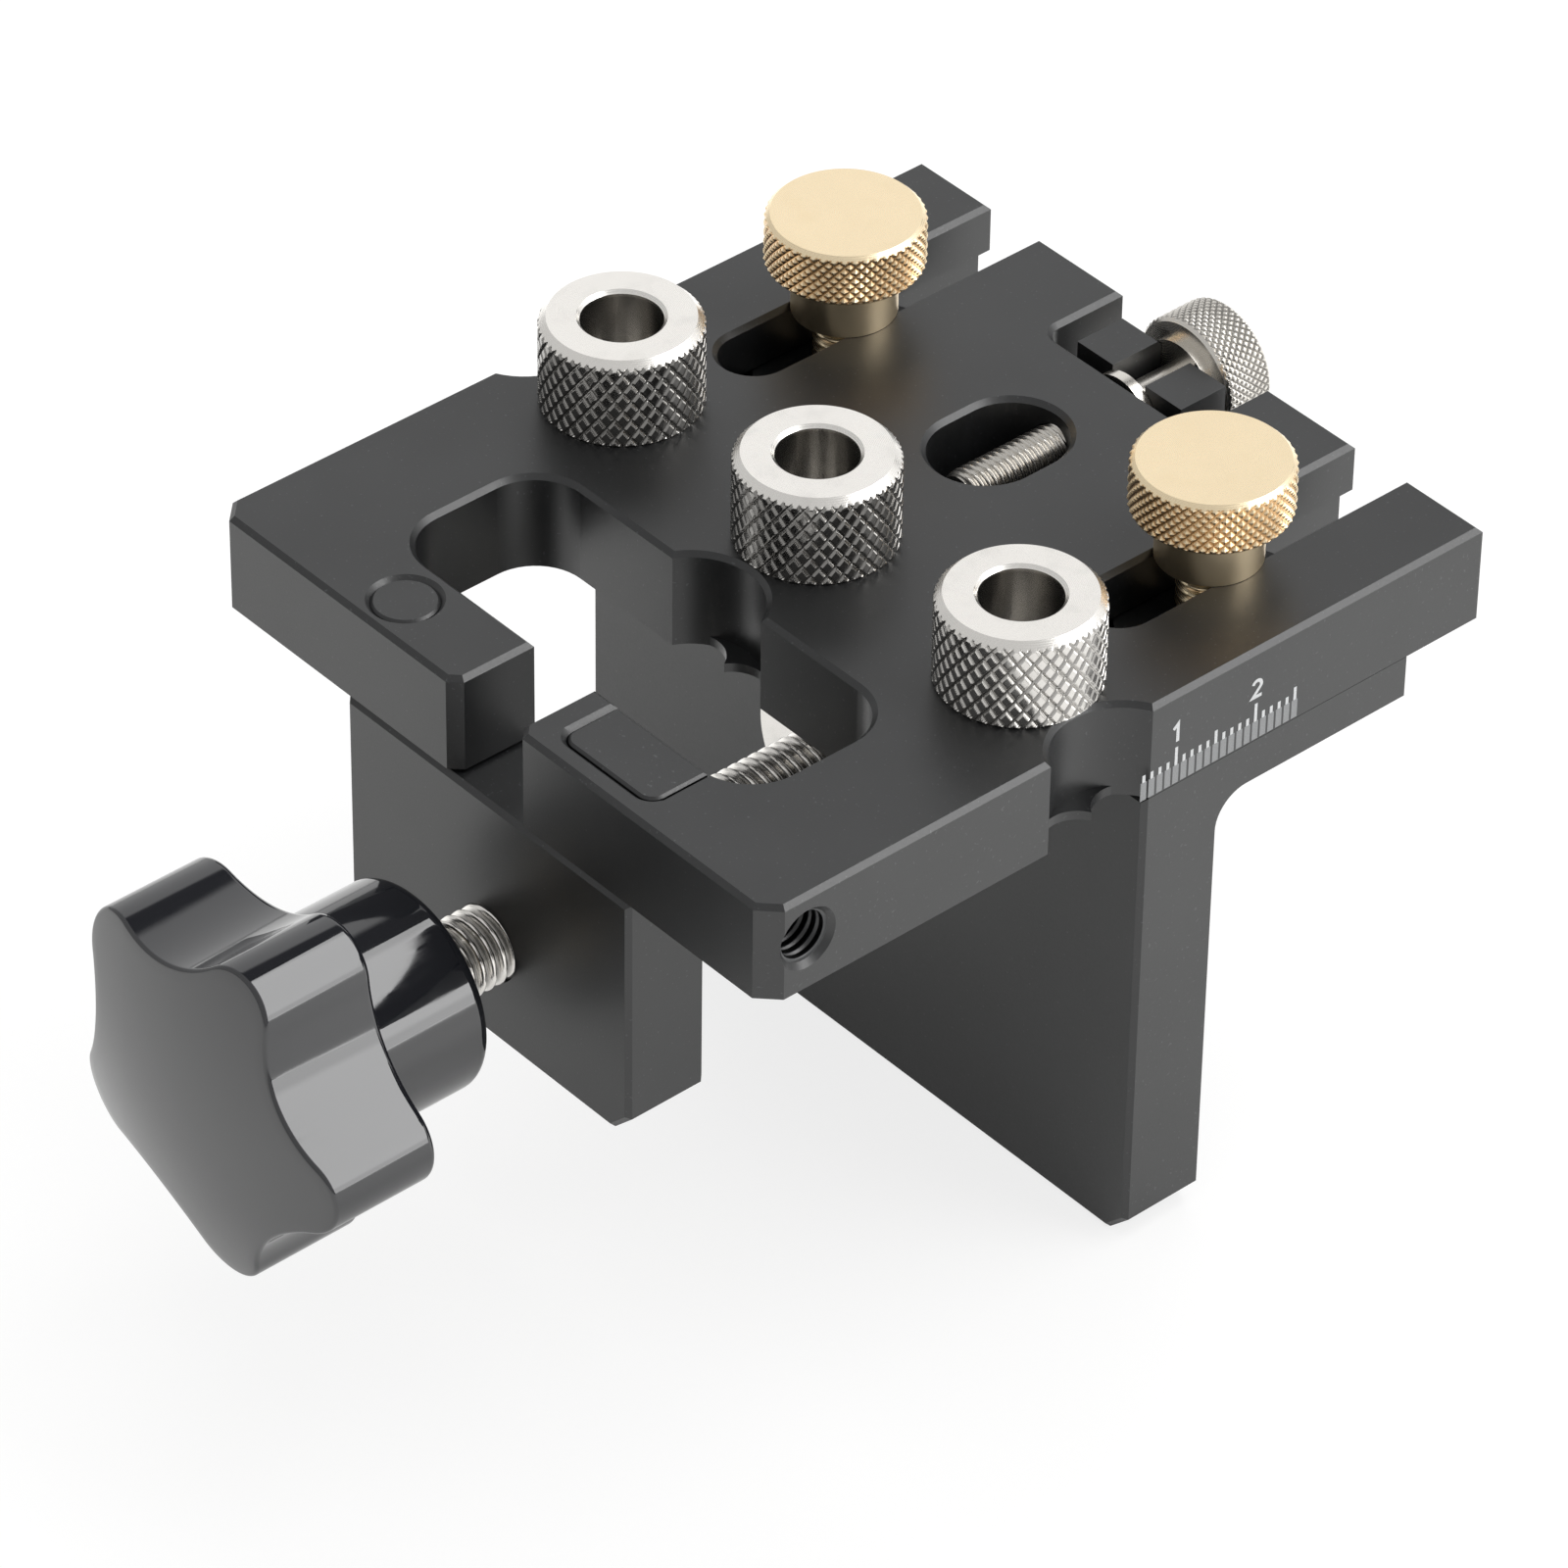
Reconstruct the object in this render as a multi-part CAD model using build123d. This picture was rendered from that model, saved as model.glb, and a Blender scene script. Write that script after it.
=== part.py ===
from build123d import *
import math
import os

# Adjustable doweling jig with a screw clamp.
# Origin: axis of the middle guide bush on the plate's top face. +X right, +Y to the rear, +Z up.
# All lengths in millimetres, angles in degrees.

# ---- fits and finishes --------------------------------------------------------------------------
running_fit = 0.05          # radial clearance of a part that turns or slides in a bore
thread_fit = 0.05           # radial clearance between a screw's crests and its tapped hole
key_fit = 0.10              # side clearance of a guide key in its slot
seat_gap = 0.05             # clearance under a shoulder that turns on a face
edge_break = 0.5            # chamfer on the machined aluminium edges

# ---- guide plate --------------------------------------------------------------------------------
plate_width = 78.6
plate_thickness = 10.6
front_reach = 40.0          # bush row to the front edge
rear_reach = 48.2           # bush row to the rear edge
corner_chamfer = 2.0        # upright front corners
front_bar_depth = 9.5       # front edge to the cutout
side_bar = 14.15            # cutout to the side face
cutout_setback = 12.2       # bush row to the cutout's rear wall
cutout_corner = 5.5
front_gap_width = 8.6       # gap between the two front ears
ear_chamfer = 1.2
bush_edge = 11.3            # outer bush axis to the side face

# sighting notches over a pointer lip
notch_radius = 7.0
notch_depth = 3.9
lip_thickness = 1.0
scallop_radius = 3.4
scallop_offset = 3.0        # from the pointer, along the edge
scallop_standoff = 0.6      # circle centres outside the edge

# rear slots, window and yoke notch
rear_arm_width = 10.15      # slot to the side face
slot_width = 7.0
slot_end = 14.5             # centre of the closed end
key_slot_width = 10.2
key_slot_roof = 5.35        # top face down to the wide slot's roof
window_width = 11.0
window_length = 14.7
tongue_length = 7.8         # window to the yoke notch
yoke_notch_width = 20.3
yoke_notch_depth = 10.2
yoke_notch_corner = 1.75

# side threads for a stop rod
side_thread_radius = 2.5
side_thread_depth = 12.0
side_thread_drop = 5.0
side_thread_mouth = 0.8     # countersink

# ---- jaw block ----------------------------------------------------------------------------------
jaw_width = 40.5
jaw_thickness = 9.3
jaw_bottom = 38.8           # below the plate's top face
jaw_shadow_gap = 0.4        # under the plate
leg_corner = 2.4            # bevelled lower corners of jaw and fence
tenon_width = 12.5
tenon_depth = 6.7
tenon_corner = 1.6
tenon_fit = 0.15
pin_radius = 3.25
pin_edge = 3.25             # pin's axis to the jaw's left side
pin_in_jaw = 13.0
flush_drop = 0.15           # pin and tenon tops below the plate's top face

# ---- guide bushes -------------------------------------------------------------------------------
bush_bore = 4.0
bush_head_radius = 8.0
bush_head_height = 9.6
bush_shank_radius = 6.0
bush_top_chamfer = 0.8
bore_chamfer = 0.45
bush_end_gap = 0.2          # shank end above the plate's underside

# ---- fence bracket ------------------------------------------------------------------------------
fence_face = 5.7            # rest position, the jig's smallest setting
fence_thickness = 9.3
fence_bottom = 64.4         # below the plate's top face
shelf_thickness = 4.6
inner_fillet = 3.75
slide_gap = 0.05            # shelf below the plate's underside
key_length = 20.0
key_roof_gap = 0.25

# ---- brass lock screws --------------------------------------------------------------------------
lock_setback = 11.0         # fence's rear face to the screw's axis
lock_thread_radius = 3.0
lock_neck_radius = 5.2
lock_neck_height = 5.3
lock_head_radius = 7.9
lock_head_height = 5.7
lock_head_chamfer = 0.6
lock_end_gap = 0.4          # screw end above the shelf's underside

# ---- fine adjuster ------------------------------------------------------------------------------
adjuster_drop = 4.3         # axis below the plate's top face
adjuster_thread_radius = 2.5
adjuster_thread_length = 20.4
thread_chamfer = 0.5
flange_radius = 4.1
flange_thickness = 1.15
flange_gap = 0.4            # flange to the plate at the smallest setting
neck_radius = 2.15
neck_fit = 0.10
yoke_width = 14.5
yoke_thickness = 6.35
yoke_top_drop = 0.3
knob_boss_radius = 4.6
knob_boss_length = 0.95
adjuster_knob_radius = 6.5
adjuster_knob_length = 5.6
adjuster_knob_chamfer = 0.4
knob_cap = 0.9              # metal behind the blind bore
yoke_screw_radius = 1.25
yoke_screw_spacing = 9.2
yoke_screw_reach = 7.0      # thread in the shelf's end
yoke_screw_head_radius = 2.2
yoke_screw_head_height = 1.4
hex_socket = 1.5            # across flats
hex_socket_depth = 0.8

# ---- clamp screw, knob and pad ------------------------------------------------------------------
clamp_drop = 27.9           # axis below the plate's top face
clamp_thread_radius = 4.0
pad_gap = 0.3               # pad to fence at rest
pad_radius = 10.2
pad_thickness = 3.4
pad_chamfer = 0.4
spigot_radius = 2.5
pad_recess_radius = 4.2
pad_recess_depth = 1.7
ring_radius = 3.7
ring_thickness = 0.6
ring_groove_depth = 0.5
ring_gap = 0.1
spigot_end_gap = 0.3        # spigot end inside the pad's rear face
knob_standoff = 8.2         # hub to the jaw's front face
hub_radius = 10.75
hub_length = 13.4
hub_round = 1.3
star_length = 14.6          # at the middle of the domed pull face
face_crown = 2.9            # dome's height over the lobes' reach
lobe_count = 5
lobe_reach = 19.3
valley_reach = 14.5
lobe_arc = 4.7
lobe_turn = -4.85           # first lobe from +X towards +Z
face_round = 0.5
shoulder_round = 0.8
insert_radius = 6.0
insert_length = 18.0
insert_chamfer = 0.3

# ---- places worked out from the sizes above -----------------------------------------------------
half_width = plate_width / 2
plate_front = -front_reach
cutout_half_width = half_width - side_bar
cutout_front = plate_front + front_bar_depth
cutout_rear = -cutout_setback
bush_pitch = half_width - bush_edge
slot_centre = half_width - rear_arm_width - slot_width / 2
notch_wall = rear_reach - yoke_notch_depth
window_rear = notch_wall - tongue_length
window_middle = window_rear - window_length / 2
jaw_top = -plate_thickness - jaw_shadow_gap
jaw_rear = plate_front + jaw_thickness
shelf_top = -plate_thickness - slide_gap
shelf_bottom = shelf_top - shelf_thickness
fence_rear = fence_face + fence_thickness
lock_row = fence_rear + lock_setback
flange_front = notch_wall + flange_gap
shelf_rear = flange_front + flange_thickness + seat_gap
shelf_middle = (shelf_top + shelf_bottom) / 2
yoke_rear = shelf_rear + yoke_thickness
pin_place = (pin_edge - jaw_width / 2, plate_front + jaw_thickness / 2)
tenon_right = jaw_width / 2
tenon_left = tenon_right - tenon_width
tenon_front = jaw_rear - tenon_depth
lock_places = {"left": -slot_centre, "right": slot_centre}
bush_places = {"left": -bush_pitch, "middle": 0.0, "right": bush_pitch}
yoke_screw_places = (-yoke_screw_spacing / 2, yoke_screw_spacing / 2)
pad_rear = fence_face - pad_gap
pad_front = pad_rear - pad_thickness
hub_rear = plate_front - knob_standoff
hub_front = hub_rear - hub_length


def span_box(x_span, y_span, z_span):
    """Box between two limits on each axis."""
    lows, highs = zip(x_span, y_span, z_span)
    sizes = [high - low for low, high in zip(lows, highs)]
    middle = [(high + low) / 2 for low, high in zip(lows, highs)]
    return Pos(*middle) * Box(*sizes)


def upright_rod(radius, x, y, z_span):
    """Cylinder along Z between two heights."""
    low, high = z_span
    return Pos(x, y, (low + high) / 2) * Cylinder(radius, high - low)


def level_rod(radius, x, z, y_span):
    """Cylinder along Y between two depths."""
    low, high = y_span
    return Pos(x, (low + high) / 2, z) * Rot(90, 0, 0) * Cylinder(radius, high - low)


def turned_upright(profile, x, y):
    """Solid of revolution about an upright axis, from (radius, z) corners."""
    face = Plane.XZ * make_face(Polyline(*profile, close=True))
    return Pos(x, y, 0) * revolve(face, Axis.Z)


def turned_level(profile, x, z):
    """Solid of revolution about an axis along Y, from (radius, y) corners."""
    face = make_face(Polyline(*profile, close=True))
    return Pos(x, 0, z) * revolve(face, Axis.Y)


def sketch_prism(sketch, z_span):
    """Flat shape pulled up between two heights."""
    low, high = z_span
    return Pos(0, 0, low) * extrude(sketch, high - low)


def edges_at(solid, axis, place, reach=0.01):
    """Edges whose centre lies at one place along an axis."""
    return solid.edges().filter_by_position(axis, place - reach, place + reach)


# ---- guide plate --------------------------------------------------------------------------------
def open_slot(width, centre_x):
    """Slot outline with a round closed end, open past the plate's rear edge."""
    return Pos(centre_x, slot_end) * (
        Circle(width / 2) + Pos(0, rear_reach / 2) * Rectangle(width, rear_reach)
    )


def sighting_notch(wall_x, wall_y, outward):
    """Round notch in a wall, and the two scallops that leave a pointer on its lip."""
    out_x, out_y = outward
    standoff = notch_radius - notch_depth
    centre = (wall_x + out_x * standoff, wall_y + out_y * standoff)
    round_cut = Pos(*centre) * Circle(notch_radius)
    scallops = Sketch()
    for side in (-scallop_offset, scallop_offset):
        scallop_x = wall_x + out_x * scallop_standoff + out_y * side
        scallop_y = wall_y + out_y * scallop_standoff + out_x * side
        scallops += Pos(scallop_x, scallop_y) * Circle(scallop_radius)
    upper = sketch_prism(round_cut, (lip_thickness - plate_thickness, plate_thickness))
    lower = sketch_prism(scallops & round_cut, (-2 * plate_thickness, lip_thickness - plate_thickness))
    return upper + lower


def tenon_pocket():
    """Pocket in the right ear, open to the cutout, round at its two front corners."""
    left, right = tenon_left - tenon_fit, tenon_right + tenon_fit
    front, rear = tenon_front - tenon_fit, cutout_front
    shape = Pos((left + right) / 2, (front + rear) / 2) * Rectangle(right - left, rear - front)
    shape = fillet(shape.vertices().group_by(Axis.Y)[0], tenon_corner + tenon_fit)
    shape += Pos((left + right) / 2, rear) * Rectangle(right - left, 2 * cutout_corner)
    return sketch_prism(shape, (-2 * plate_thickness, plate_thickness))


def side_thread(side):
    """Tapped hole with a countersunk mouth, bored in from one side face."""
    mouth = side_thread_radius + side_thread_mouth
    profile = [
        (0, 0), (mouth, 0), (side_thread_radius, side_thread_mouth),
        (side_thread_radius, side_thread_depth), (0, side_thread_depth + side_thread_radius / 2),
    ]
    bore = revolve(make_face(Polyline(*profile, close=True)), Axis.Y)
    place = Pos(side * half_width, plate_front + front_bar_depth / 2, -side_thread_drop)
    return place * Rot(0, 0, side * 90) * bore


def make_guide_plate():
    through = (-2 * plate_thickness, plate_thickness)
    plate = span_box((-half_width, half_width), (plate_front, rear_reach), (-plate_thickness, 0))
    cutout_length = cutout_rear - cutout_front
    cutout = Pos(0, (cutout_front + cutout_rear) / 2) * RectangleRounded(
        2 * cutout_half_width, cutout_length, cutout_corner)
    gap = Pos(0, plate_front) * Rectangle(front_gap_width, 2 * front_bar_depth + 1)
    window = Pos(0, window_middle) * Rot(0, 0, 90) * SlotOverall(window_length, window_width)
    yoke_notch = Pos(0, rear_reach) * RectangleRounded(
        yoke_notch_width, 2 * yoke_notch_depth, yoke_notch_corner)
    outline_cuts = [cutout, gap, window, yoke_notch]
    outline_cuts += [open_slot(slot_width, x) for x in lock_places.values()]
    for shape in outline_cuts:
        plate -= sketch_prism(shape, through)
    plate -= sighting_notch(0, cutout_rear, (0, -1))
    plate -= sighting_notch(-half_width, 0, (-1, 0))
    plate -= sighting_notch(half_width, 0, (1, 0))
    plate -= tenon_pocket()
    plate -= upright_rod(pin_radius, *pin_place, through)

    front_edges = edges_at(plate.edges().filter_by(Axis.Z), Axis.Y, plate_front)
    outer = front_edges.filter_by(lambda edge: abs(edge.center().X) > half_width - 1)
    inner = front_edges.filter_by(lambda edge: abs(edge.center().X) < front_gap_width)
    plate = chamfer(outer, corner_chamfer)
    inner = edges_at(plate.edges().filter_by(Axis.Z), Axis.Y, plate_front).filter_by(
        lambda edge: abs(edge.center().X) < front_gap_width)
    plate = chamfer(inner, ear_chamfer)
    plate = chamfer(edges_at(plate, Axis.Z, 0.0), edge_break)

    for x in lock_places.values():
        plate -= sketch_prism(open_slot(key_slot_width, x), (-2 * plate_thickness, -key_slot_roof))
    for x in bush_places.values():
        plate -= upright_rod(bush_shank_radius + running_fit, x, 0, through)
    plate -= level_rod(adjuster_thread_radius + thread_fit, 0, -adjuster_drop, (window_middle, rear_reach))
    for side in (-1, 1):
        plate -= side_thread(side)
    return plate


# ---- jaw block ----------------------------------------------------------------------------------
def bevelled_leg(width, y_span, z_span):
    """Upright slab with bevelled lower corners and broken edges."""
    slab = span_box((-width / 2, width / 2), y_span, z_span)
    lower = edges_at(slab.edges().filter_by(Axis.Y), Axis.Z, z_span[0])
    return chamfer(lower, leg_corner)


def make_jaw_block():
    jaw = bevelled_leg(jaw_width, (plate_front, jaw_rear), (-jaw_bottom, jaw_top))
    jaw = chamfer(edges_at(jaw, Axis.Y, plate_front) + edges_at(jaw, Axis.Y, jaw_rear), edge_break)
    tenon_face = Pos((tenon_left + tenon_right) / 2, (tenon_front + jaw_rear) / 2) * Rectangle(
        tenon_width, tenon_depth)
    tenon_face = fillet(tenon_face.vertices().group_by(Axis.Y)[0], tenon_corner)
    tenon = sketch_prism(tenon_face, (jaw_top - 2 * edge_break, -flush_drop))
    tenon = chamfer(tenon.edges().group_by(Axis.Z)[-1], edge_break / 2)
    jaw += tenon
    jaw -= level_rod(clamp_thread_radius + thread_fit, 0, -clamp_drop, (plate_front - 1, jaw_rear + 1))
    jaw -= upright_rod(pin_radius, *pin_place, (jaw_top - pin_in_jaw, 0))
    return jaw


def make_jaw_pin():
    bottom = jaw_top - pin_in_jaw
    bevel = edge_break / 2
    return turned_upright([
        (0, bottom), (pin_radius - bevel, bottom), (pin_radius, bottom + bevel),
        (pin_radius, -flush_drop - bevel), (pin_radius - bevel, -flush_drop), (0, -flush_drop),
    ], *pin_place)


# ---- guide bush ---------------------------------------------------------------------------------
def make_guide_bush(x):
    top = seat_gap + bush_head_height
    bottom = bush_end_gap - plate_thickness
    bore_mouth = bush_bore + bore_chamfer
    return turned_upright([
        (bush_bore, bottom + bore_chamfer), (bore_mouth, bottom), (bush_shank_radius - bore_chamfer, bottom),
        (bush_shank_radius, bottom + bore_chamfer), (bush_shank_radius, seat_gap),
        (bush_head_radius, seat_gap), (bush_head_radius, top - bush_top_chamfer),
        (bush_head_radius - bush_top_chamfer, top), (bore_mouth, top), (bush_bore, top - bore_chamfer),
    ], x, 0)


# ---- fence bracket ------------------------------------------------------------------------------
def make_fence_bracket():
    leg = bevelled_leg(plate_width, (fence_face, fence_rear), (-fence_bottom, shelf_top))
    shelf = span_box((-half_width, half_width), (fence_face, shelf_rear), (shelf_bottom, shelf_top))
    bracket = leg + shelf
    inside = bracket.edges().filter_by(Axis.X).filter_by_position(
        Axis.Y, fence_rear - 0.01, fence_rear + 0.01).filter_by_position(
        Axis.Z, shelf_bottom - 0.01, shelf_bottom + 0.01)
    bracket = fillet(inside, inner_fillet)
    rim = edges_at(bracket, Axis.Y, fence_face) + edges_at(bracket, Axis.Y, shelf_rear)
    bracket = chamfer(rim, edge_break)
    for x in lock_places.values():
        bore = (shelf_bottom - 1, shelf_top + 1)
        bracket -= upright_rod(lock_thread_radius + thread_fit, x, lock_row, bore)
    for x in yoke_screw_places:
        bore = (shelf_rear - yoke_screw_reach, shelf_rear + 1)
        bracket -= level_rod(yoke_screw_radius, x, shelf_middle, bore)
    return bracket


def make_guide_key(x):
    width = key_slot_width - 2 * key_fit
    outline = Pos(x, lock_row) * Rot(0, 0, 90) * SlotCenterToCenter(key_length - width, width)
    key = sketch_prism(outline, (shelf_top, -key_slot_roof - key_roof_gap))
    return key - upright_rod(lock_thread_radius + thread_fit, x, lock_row, (shelf_top - 1, 0))


# ---- lock screws --------------------------------------------------------------------------------
def make_lock_screw(x):
    head_low = seat_gap + lock_neck_height
    head_top = head_low + lock_head_height
    tip = shelf_bottom + lock_end_gap
    bevel = lock_head_chamfer
    return turned_upright([
        (0, tip), (lock_thread_radius - thread_chamfer, tip),
        (lock_thread_radius, tip + thread_chamfer), (lock_thread_radius, seat_gap),
        (lock_neck_radius, seat_gap), (lock_neck_radius, head_low),
        (lock_head_radius - bevel, head_low), (lock_head_radius, head_low + bevel),
        (lock_head_radius, head_top - bevel), (lock_head_radius - bevel, head_top), (0, head_top),
    ], x, lock_row)


# ---- fine adjuster ------------------------------------------------------------------------------
def make_yoke():
    half = yoke_width / 2
    yoke = span_box((-half, half), (shelf_rear, yoke_rear), (shelf_bottom, -yoke_top_drop))
    yoke = chamfer(edges_at(yoke, Axis.Y, yoke_rear), edge_break)
    slot_radius = neck_radius + neck_fit
    through = (shelf_rear - 1, yoke_rear + 1)
    yoke -= level_rod(slot_radius, 0, -adjuster_drop, through)
    yoke -= span_box((-slot_radius, slot_radius), through, (-adjuster_drop, 1))
    for x in yoke_screw_places:
        yoke -= level_rod(yoke_screw_radius, x, shelf_middle, through)
    return yoke


def make_yoke_screw(x):
    head_end = yoke_rear + yoke_screw_head_height
    bevel = yoke_screw_head_height / 3
    screw = turned_level([
        (0, shelf_rear - yoke_screw_reach), (yoke_screw_radius, shelf_rear - yoke_screw_reach),
        (yoke_screw_radius, yoke_rear), (yoke_screw_head_radius, yoke_rear),
        (yoke_screw_head_radius, head_end - bevel), (yoke_screw_head_radius - bevel, head_end), (0, head_end),
    ], x, shelf_middle)
    hexagon = Rot(90, 0, 0) * extrude(RegularPolygon(hex_socket / 2, 6, major_radius=False), hex_socket_depth)
    return screw - Pos(x, head_end, shelf_middle) * hexagon


def make_adjusting_screw():
    flange_rear = flange_front + flange_thickness
    adjuster_tip = flange_front - adjuster_thread_length
    end = yoke_rear + seat_gap + knob_boss_length + adjuster_knob_length - knob_cap
    return turned_level([
        (0, adjuster_tip), (adjuster_thread_radius - thread_chamfer, adjuster_tip),
        (adjuster_thread_radius, adjuster_tip + thread_chamfer), (adjuster_thread_radius, flange_front),
        (flange_radius, flange_front), (flange_radius, flange_rear),
        (neck_radius, flange_rear), (neck_radius, end), (0, end),
    ], 0, -adjuster_drop)


def make_adjusting_knob():
    front = yoke_rear + seat_gap
    rim_front = front + knob_boss_length
    rear = rim_front + adjuster_knob_length
    bevel = adjuster_knob_chamfer
    return turned_level([
        (neck_radius, front), (knob_boss_radius, front), (knob_boss_radius, rim_front),
        (adjuster_knob_radius - bevel, rim_front), (adjuster_knob_radius, rim_front + bevel),
        (adjuster_knob_radius, rear - bevel), (adjuster_knob_radius - bevel, rear),
        (0, rear), (0, rear - knob_cap), (neck_radius, rear - knob_cap),
    ], 0, -adjuster_drop)


# ---- clamp --------------------------------------------------------------------------------------
recess_floor = pad_rear - pad_recess_depth
ring_front = recess_floor + ring_gap
ring_rear = ring_front + ring_thickness


def make_clamp_screw():
    shoulder = pad_front - seat_gap
    tip = pad_rear - spigot_end_gap
    groove = spigot_radius - ring_groove_depth
    start = hub_rear - insert_length
    return turned_level([
        (0, start), (clamp_thread_radius, start), (clamp_thread_radius, shoulder - thread_chamfer),
        (clamp_thread_radius - thread_chamfer, shoulder), (spigot_radius, shoulder),
        (spigot_radius, ring_front), (groove, ring_front), (groove, ring_rear),
        (spigot_radius, ring_rear), (spigot_radius, tip), (0, tip),
    ], 0, -clamp_drop)


def make_pad_ring():
    groove = spigot_radius - ring_groove_depth
    return turned_level([
        (groove, ring_front), (ring_radius, ring_front), (ring_radius, ring_rear), (groove, ring_rear),
    ], 0, -clamp_drop)


def make_swivel_pad():
    bevel = pad_chamfer
    bore = spigot_radius + running_fit
    return turned_level([
        (bore, pad_front), (pad_radius - bevel, pad_front), (pad_radius, pad_front + bevel),
        (pad_radius, pad_rear - bevel), (pad_radius - bevel, pad_rear), (pad_recess_radius, pad_rear),
        (pad_recess_radius, recess_floor), (bore, recess_floor),
    ], 0, -clamp_drop)


def star_outline():
    """Lobes and valleys as arcs that meet smoothly; the valley arc follows from the two reaches."""
    half_step = 180 / lobe_count
    lobe_centre = lobe_reach - lobe_arc
    along = lobe_centre * math.cos(math.radians(half_step))
    valley_arc = (lobe_arc**2 - lobe_centre**2 - valley_reach**2 + 2 * along * valley_reach) / (
        2 * (valley_reach - along - lobe_arc))
    valley_centre = valley_reach + valley_arc
    share = lobe_arc / (lobe_arc + valley_arc)

    def polar(radius, angle):
        return Vector(radius * math.cos(math.radians(angle)), radius * math.sin(math.radians(angle)))

    def meeting(lobe_angle, valley_angle):
        centre = polar(lobe_centre, lobe_angle)
        return centre + (polar(valley_centre, valley_angle) - centre) * share

    arcs = []
    for lobe in range(lobe_count):
        angle = lobe_turn + 2 * half_step * lobe
        before = meeting(angle, angle - half_step)
        after = meeting(angle, angle + half_step)
        following = meeting(angle + 2 * half_step, angle + half_step)
        arcs.append(ThreePointArc(before, polar(lobe_reach, angle), after))
        arcs.append(ThreePointArc(after, polar(valley_reach, angle + half_step), following))
    return make_face(Curve() + arcs)


def make_star_knob():
    # the outline's X and Y become the knob's X and Z; the pull runs towards -Y
    star = Pos(0, hub_front, -clamp_drop) * (Plane.XZ * extrude(star_outline(), star_length))
    dome = (lobe_reach**2 + face_crown**2) / (2 * face_crown)
    star &= Pos(0, hub_front - star_length + dome, -clamp_drop) * Sphere(dome)
    rims = star.edges().filter_by(Axis.Y, reverse=True).sort_by(Axis.Y)
    shoulder_rim = rims[-2 * lobe_count:]
    star = fillet(shoulder_rim, shoulder_round)
    rims = star.edges().filter_by(Axis.Y, reverse=True).sort_by(Axis.Y)
    star = fillet(rims[:2 * lobe_count], face_round)
    hub = level_rod(hub_radius, 0, -clamp_drop, (hub_front - star_length / 2, hub_rear))
    hub = fillet(hub.edges().group_by(Axis.Y)[-1], hub_round)
    knob = star + hub
    return knob - level_rod(insert_radius, 0, -clamp_drop, (hub_rear - insert_length, hub_rear + 1))


def make_knob_insert():
    front, rear = hub_rear - insert_length, hub_rear
    bevel = insert_chamfer
    return turned_level([
        (clamp_thread_radius, front), (insert_radius, front), (insert_radius, rear - bevel),
        (insert_radius - bevel, rear), (clamp_thread_radius, rear),
    ], 0, -clamp_drop)


# ---- write every piece --------------------------------------------------------------------------
pieces = {
    "guide_plate": make_guide_plate(),
    "jaw_block": make_jaw_block(),
    "jaw_round_pin": make_jaw_pin(),
    "fence_bracket": make_fence_bracket(),
    "yoke": make_yoke(),
    "yoke_screws": Compound([make_yoke_screw(x) for x in yoke_screw_places]),
    "adjusting_screw": make_adjusting_screw(),
    "adjusting_knob": make_adjusting_knob(),
    "clamp_screw": make_clamp_screw(),
    "pad_retaining_ring": make_pad_ring(),
    "swivel_pad": make_swivel_pad(),
    "star_knob": make_star_knob(),
    "knob_insert": make_knob_insert(),
}
for side, x in bush_places.items():
    pieces[f"guide_bush_{side}"] = make_guide_bush(x)
for side, x in lock_places.items():
    pieces[f"guide_key_{side}"] = make_guide_key(x)
    pieces[f"lock_screw_{side}"] = make_lock_screw(x)

os.makedirs("parts", exist_ok=True)
for name, piece in pieces.items():
    export_step(piece, f"parts/{name}.step")
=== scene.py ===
"""Looks of an adjustable doweling jig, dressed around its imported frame.

Every length is in metres. The frame is the part's own: the origin lies on the middle guide bush's
axis at the plate's top face, +X runs right along the bush row, +Y to the rear and +Z up.
"""

import logging
import math
from collections.abc import Callable
from dataclasses import dataclass, replace
from enum import Enum
from functools import partial

import bmesh
import bpy
import numpy as np
from mathutils import Matrix, Quaternion, Vector


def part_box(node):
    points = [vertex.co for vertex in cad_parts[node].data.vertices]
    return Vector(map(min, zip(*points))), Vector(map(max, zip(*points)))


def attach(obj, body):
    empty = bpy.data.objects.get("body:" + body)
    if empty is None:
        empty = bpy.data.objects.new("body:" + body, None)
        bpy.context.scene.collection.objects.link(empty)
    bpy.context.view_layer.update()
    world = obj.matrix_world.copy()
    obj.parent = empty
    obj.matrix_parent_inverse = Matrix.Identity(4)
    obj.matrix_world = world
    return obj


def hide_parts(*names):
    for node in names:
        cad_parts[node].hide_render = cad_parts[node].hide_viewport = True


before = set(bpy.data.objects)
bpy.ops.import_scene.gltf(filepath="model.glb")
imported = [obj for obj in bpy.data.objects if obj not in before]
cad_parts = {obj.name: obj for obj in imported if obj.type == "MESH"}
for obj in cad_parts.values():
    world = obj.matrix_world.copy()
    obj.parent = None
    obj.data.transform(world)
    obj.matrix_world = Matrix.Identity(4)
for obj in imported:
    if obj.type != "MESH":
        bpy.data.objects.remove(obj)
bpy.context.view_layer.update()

Array = np.ndarray
Socket = bpy.types.NodeSocket
Sockets = dict[str, bpy.types.Node]
AddNode = Callable[..., bpy.types.Node]
Row = tuple[Array, Array | float]  # one ring of a star: its X and Z points, and their Y
MM = 0.001
log = logging.getLogger("doweling_jig")


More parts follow.
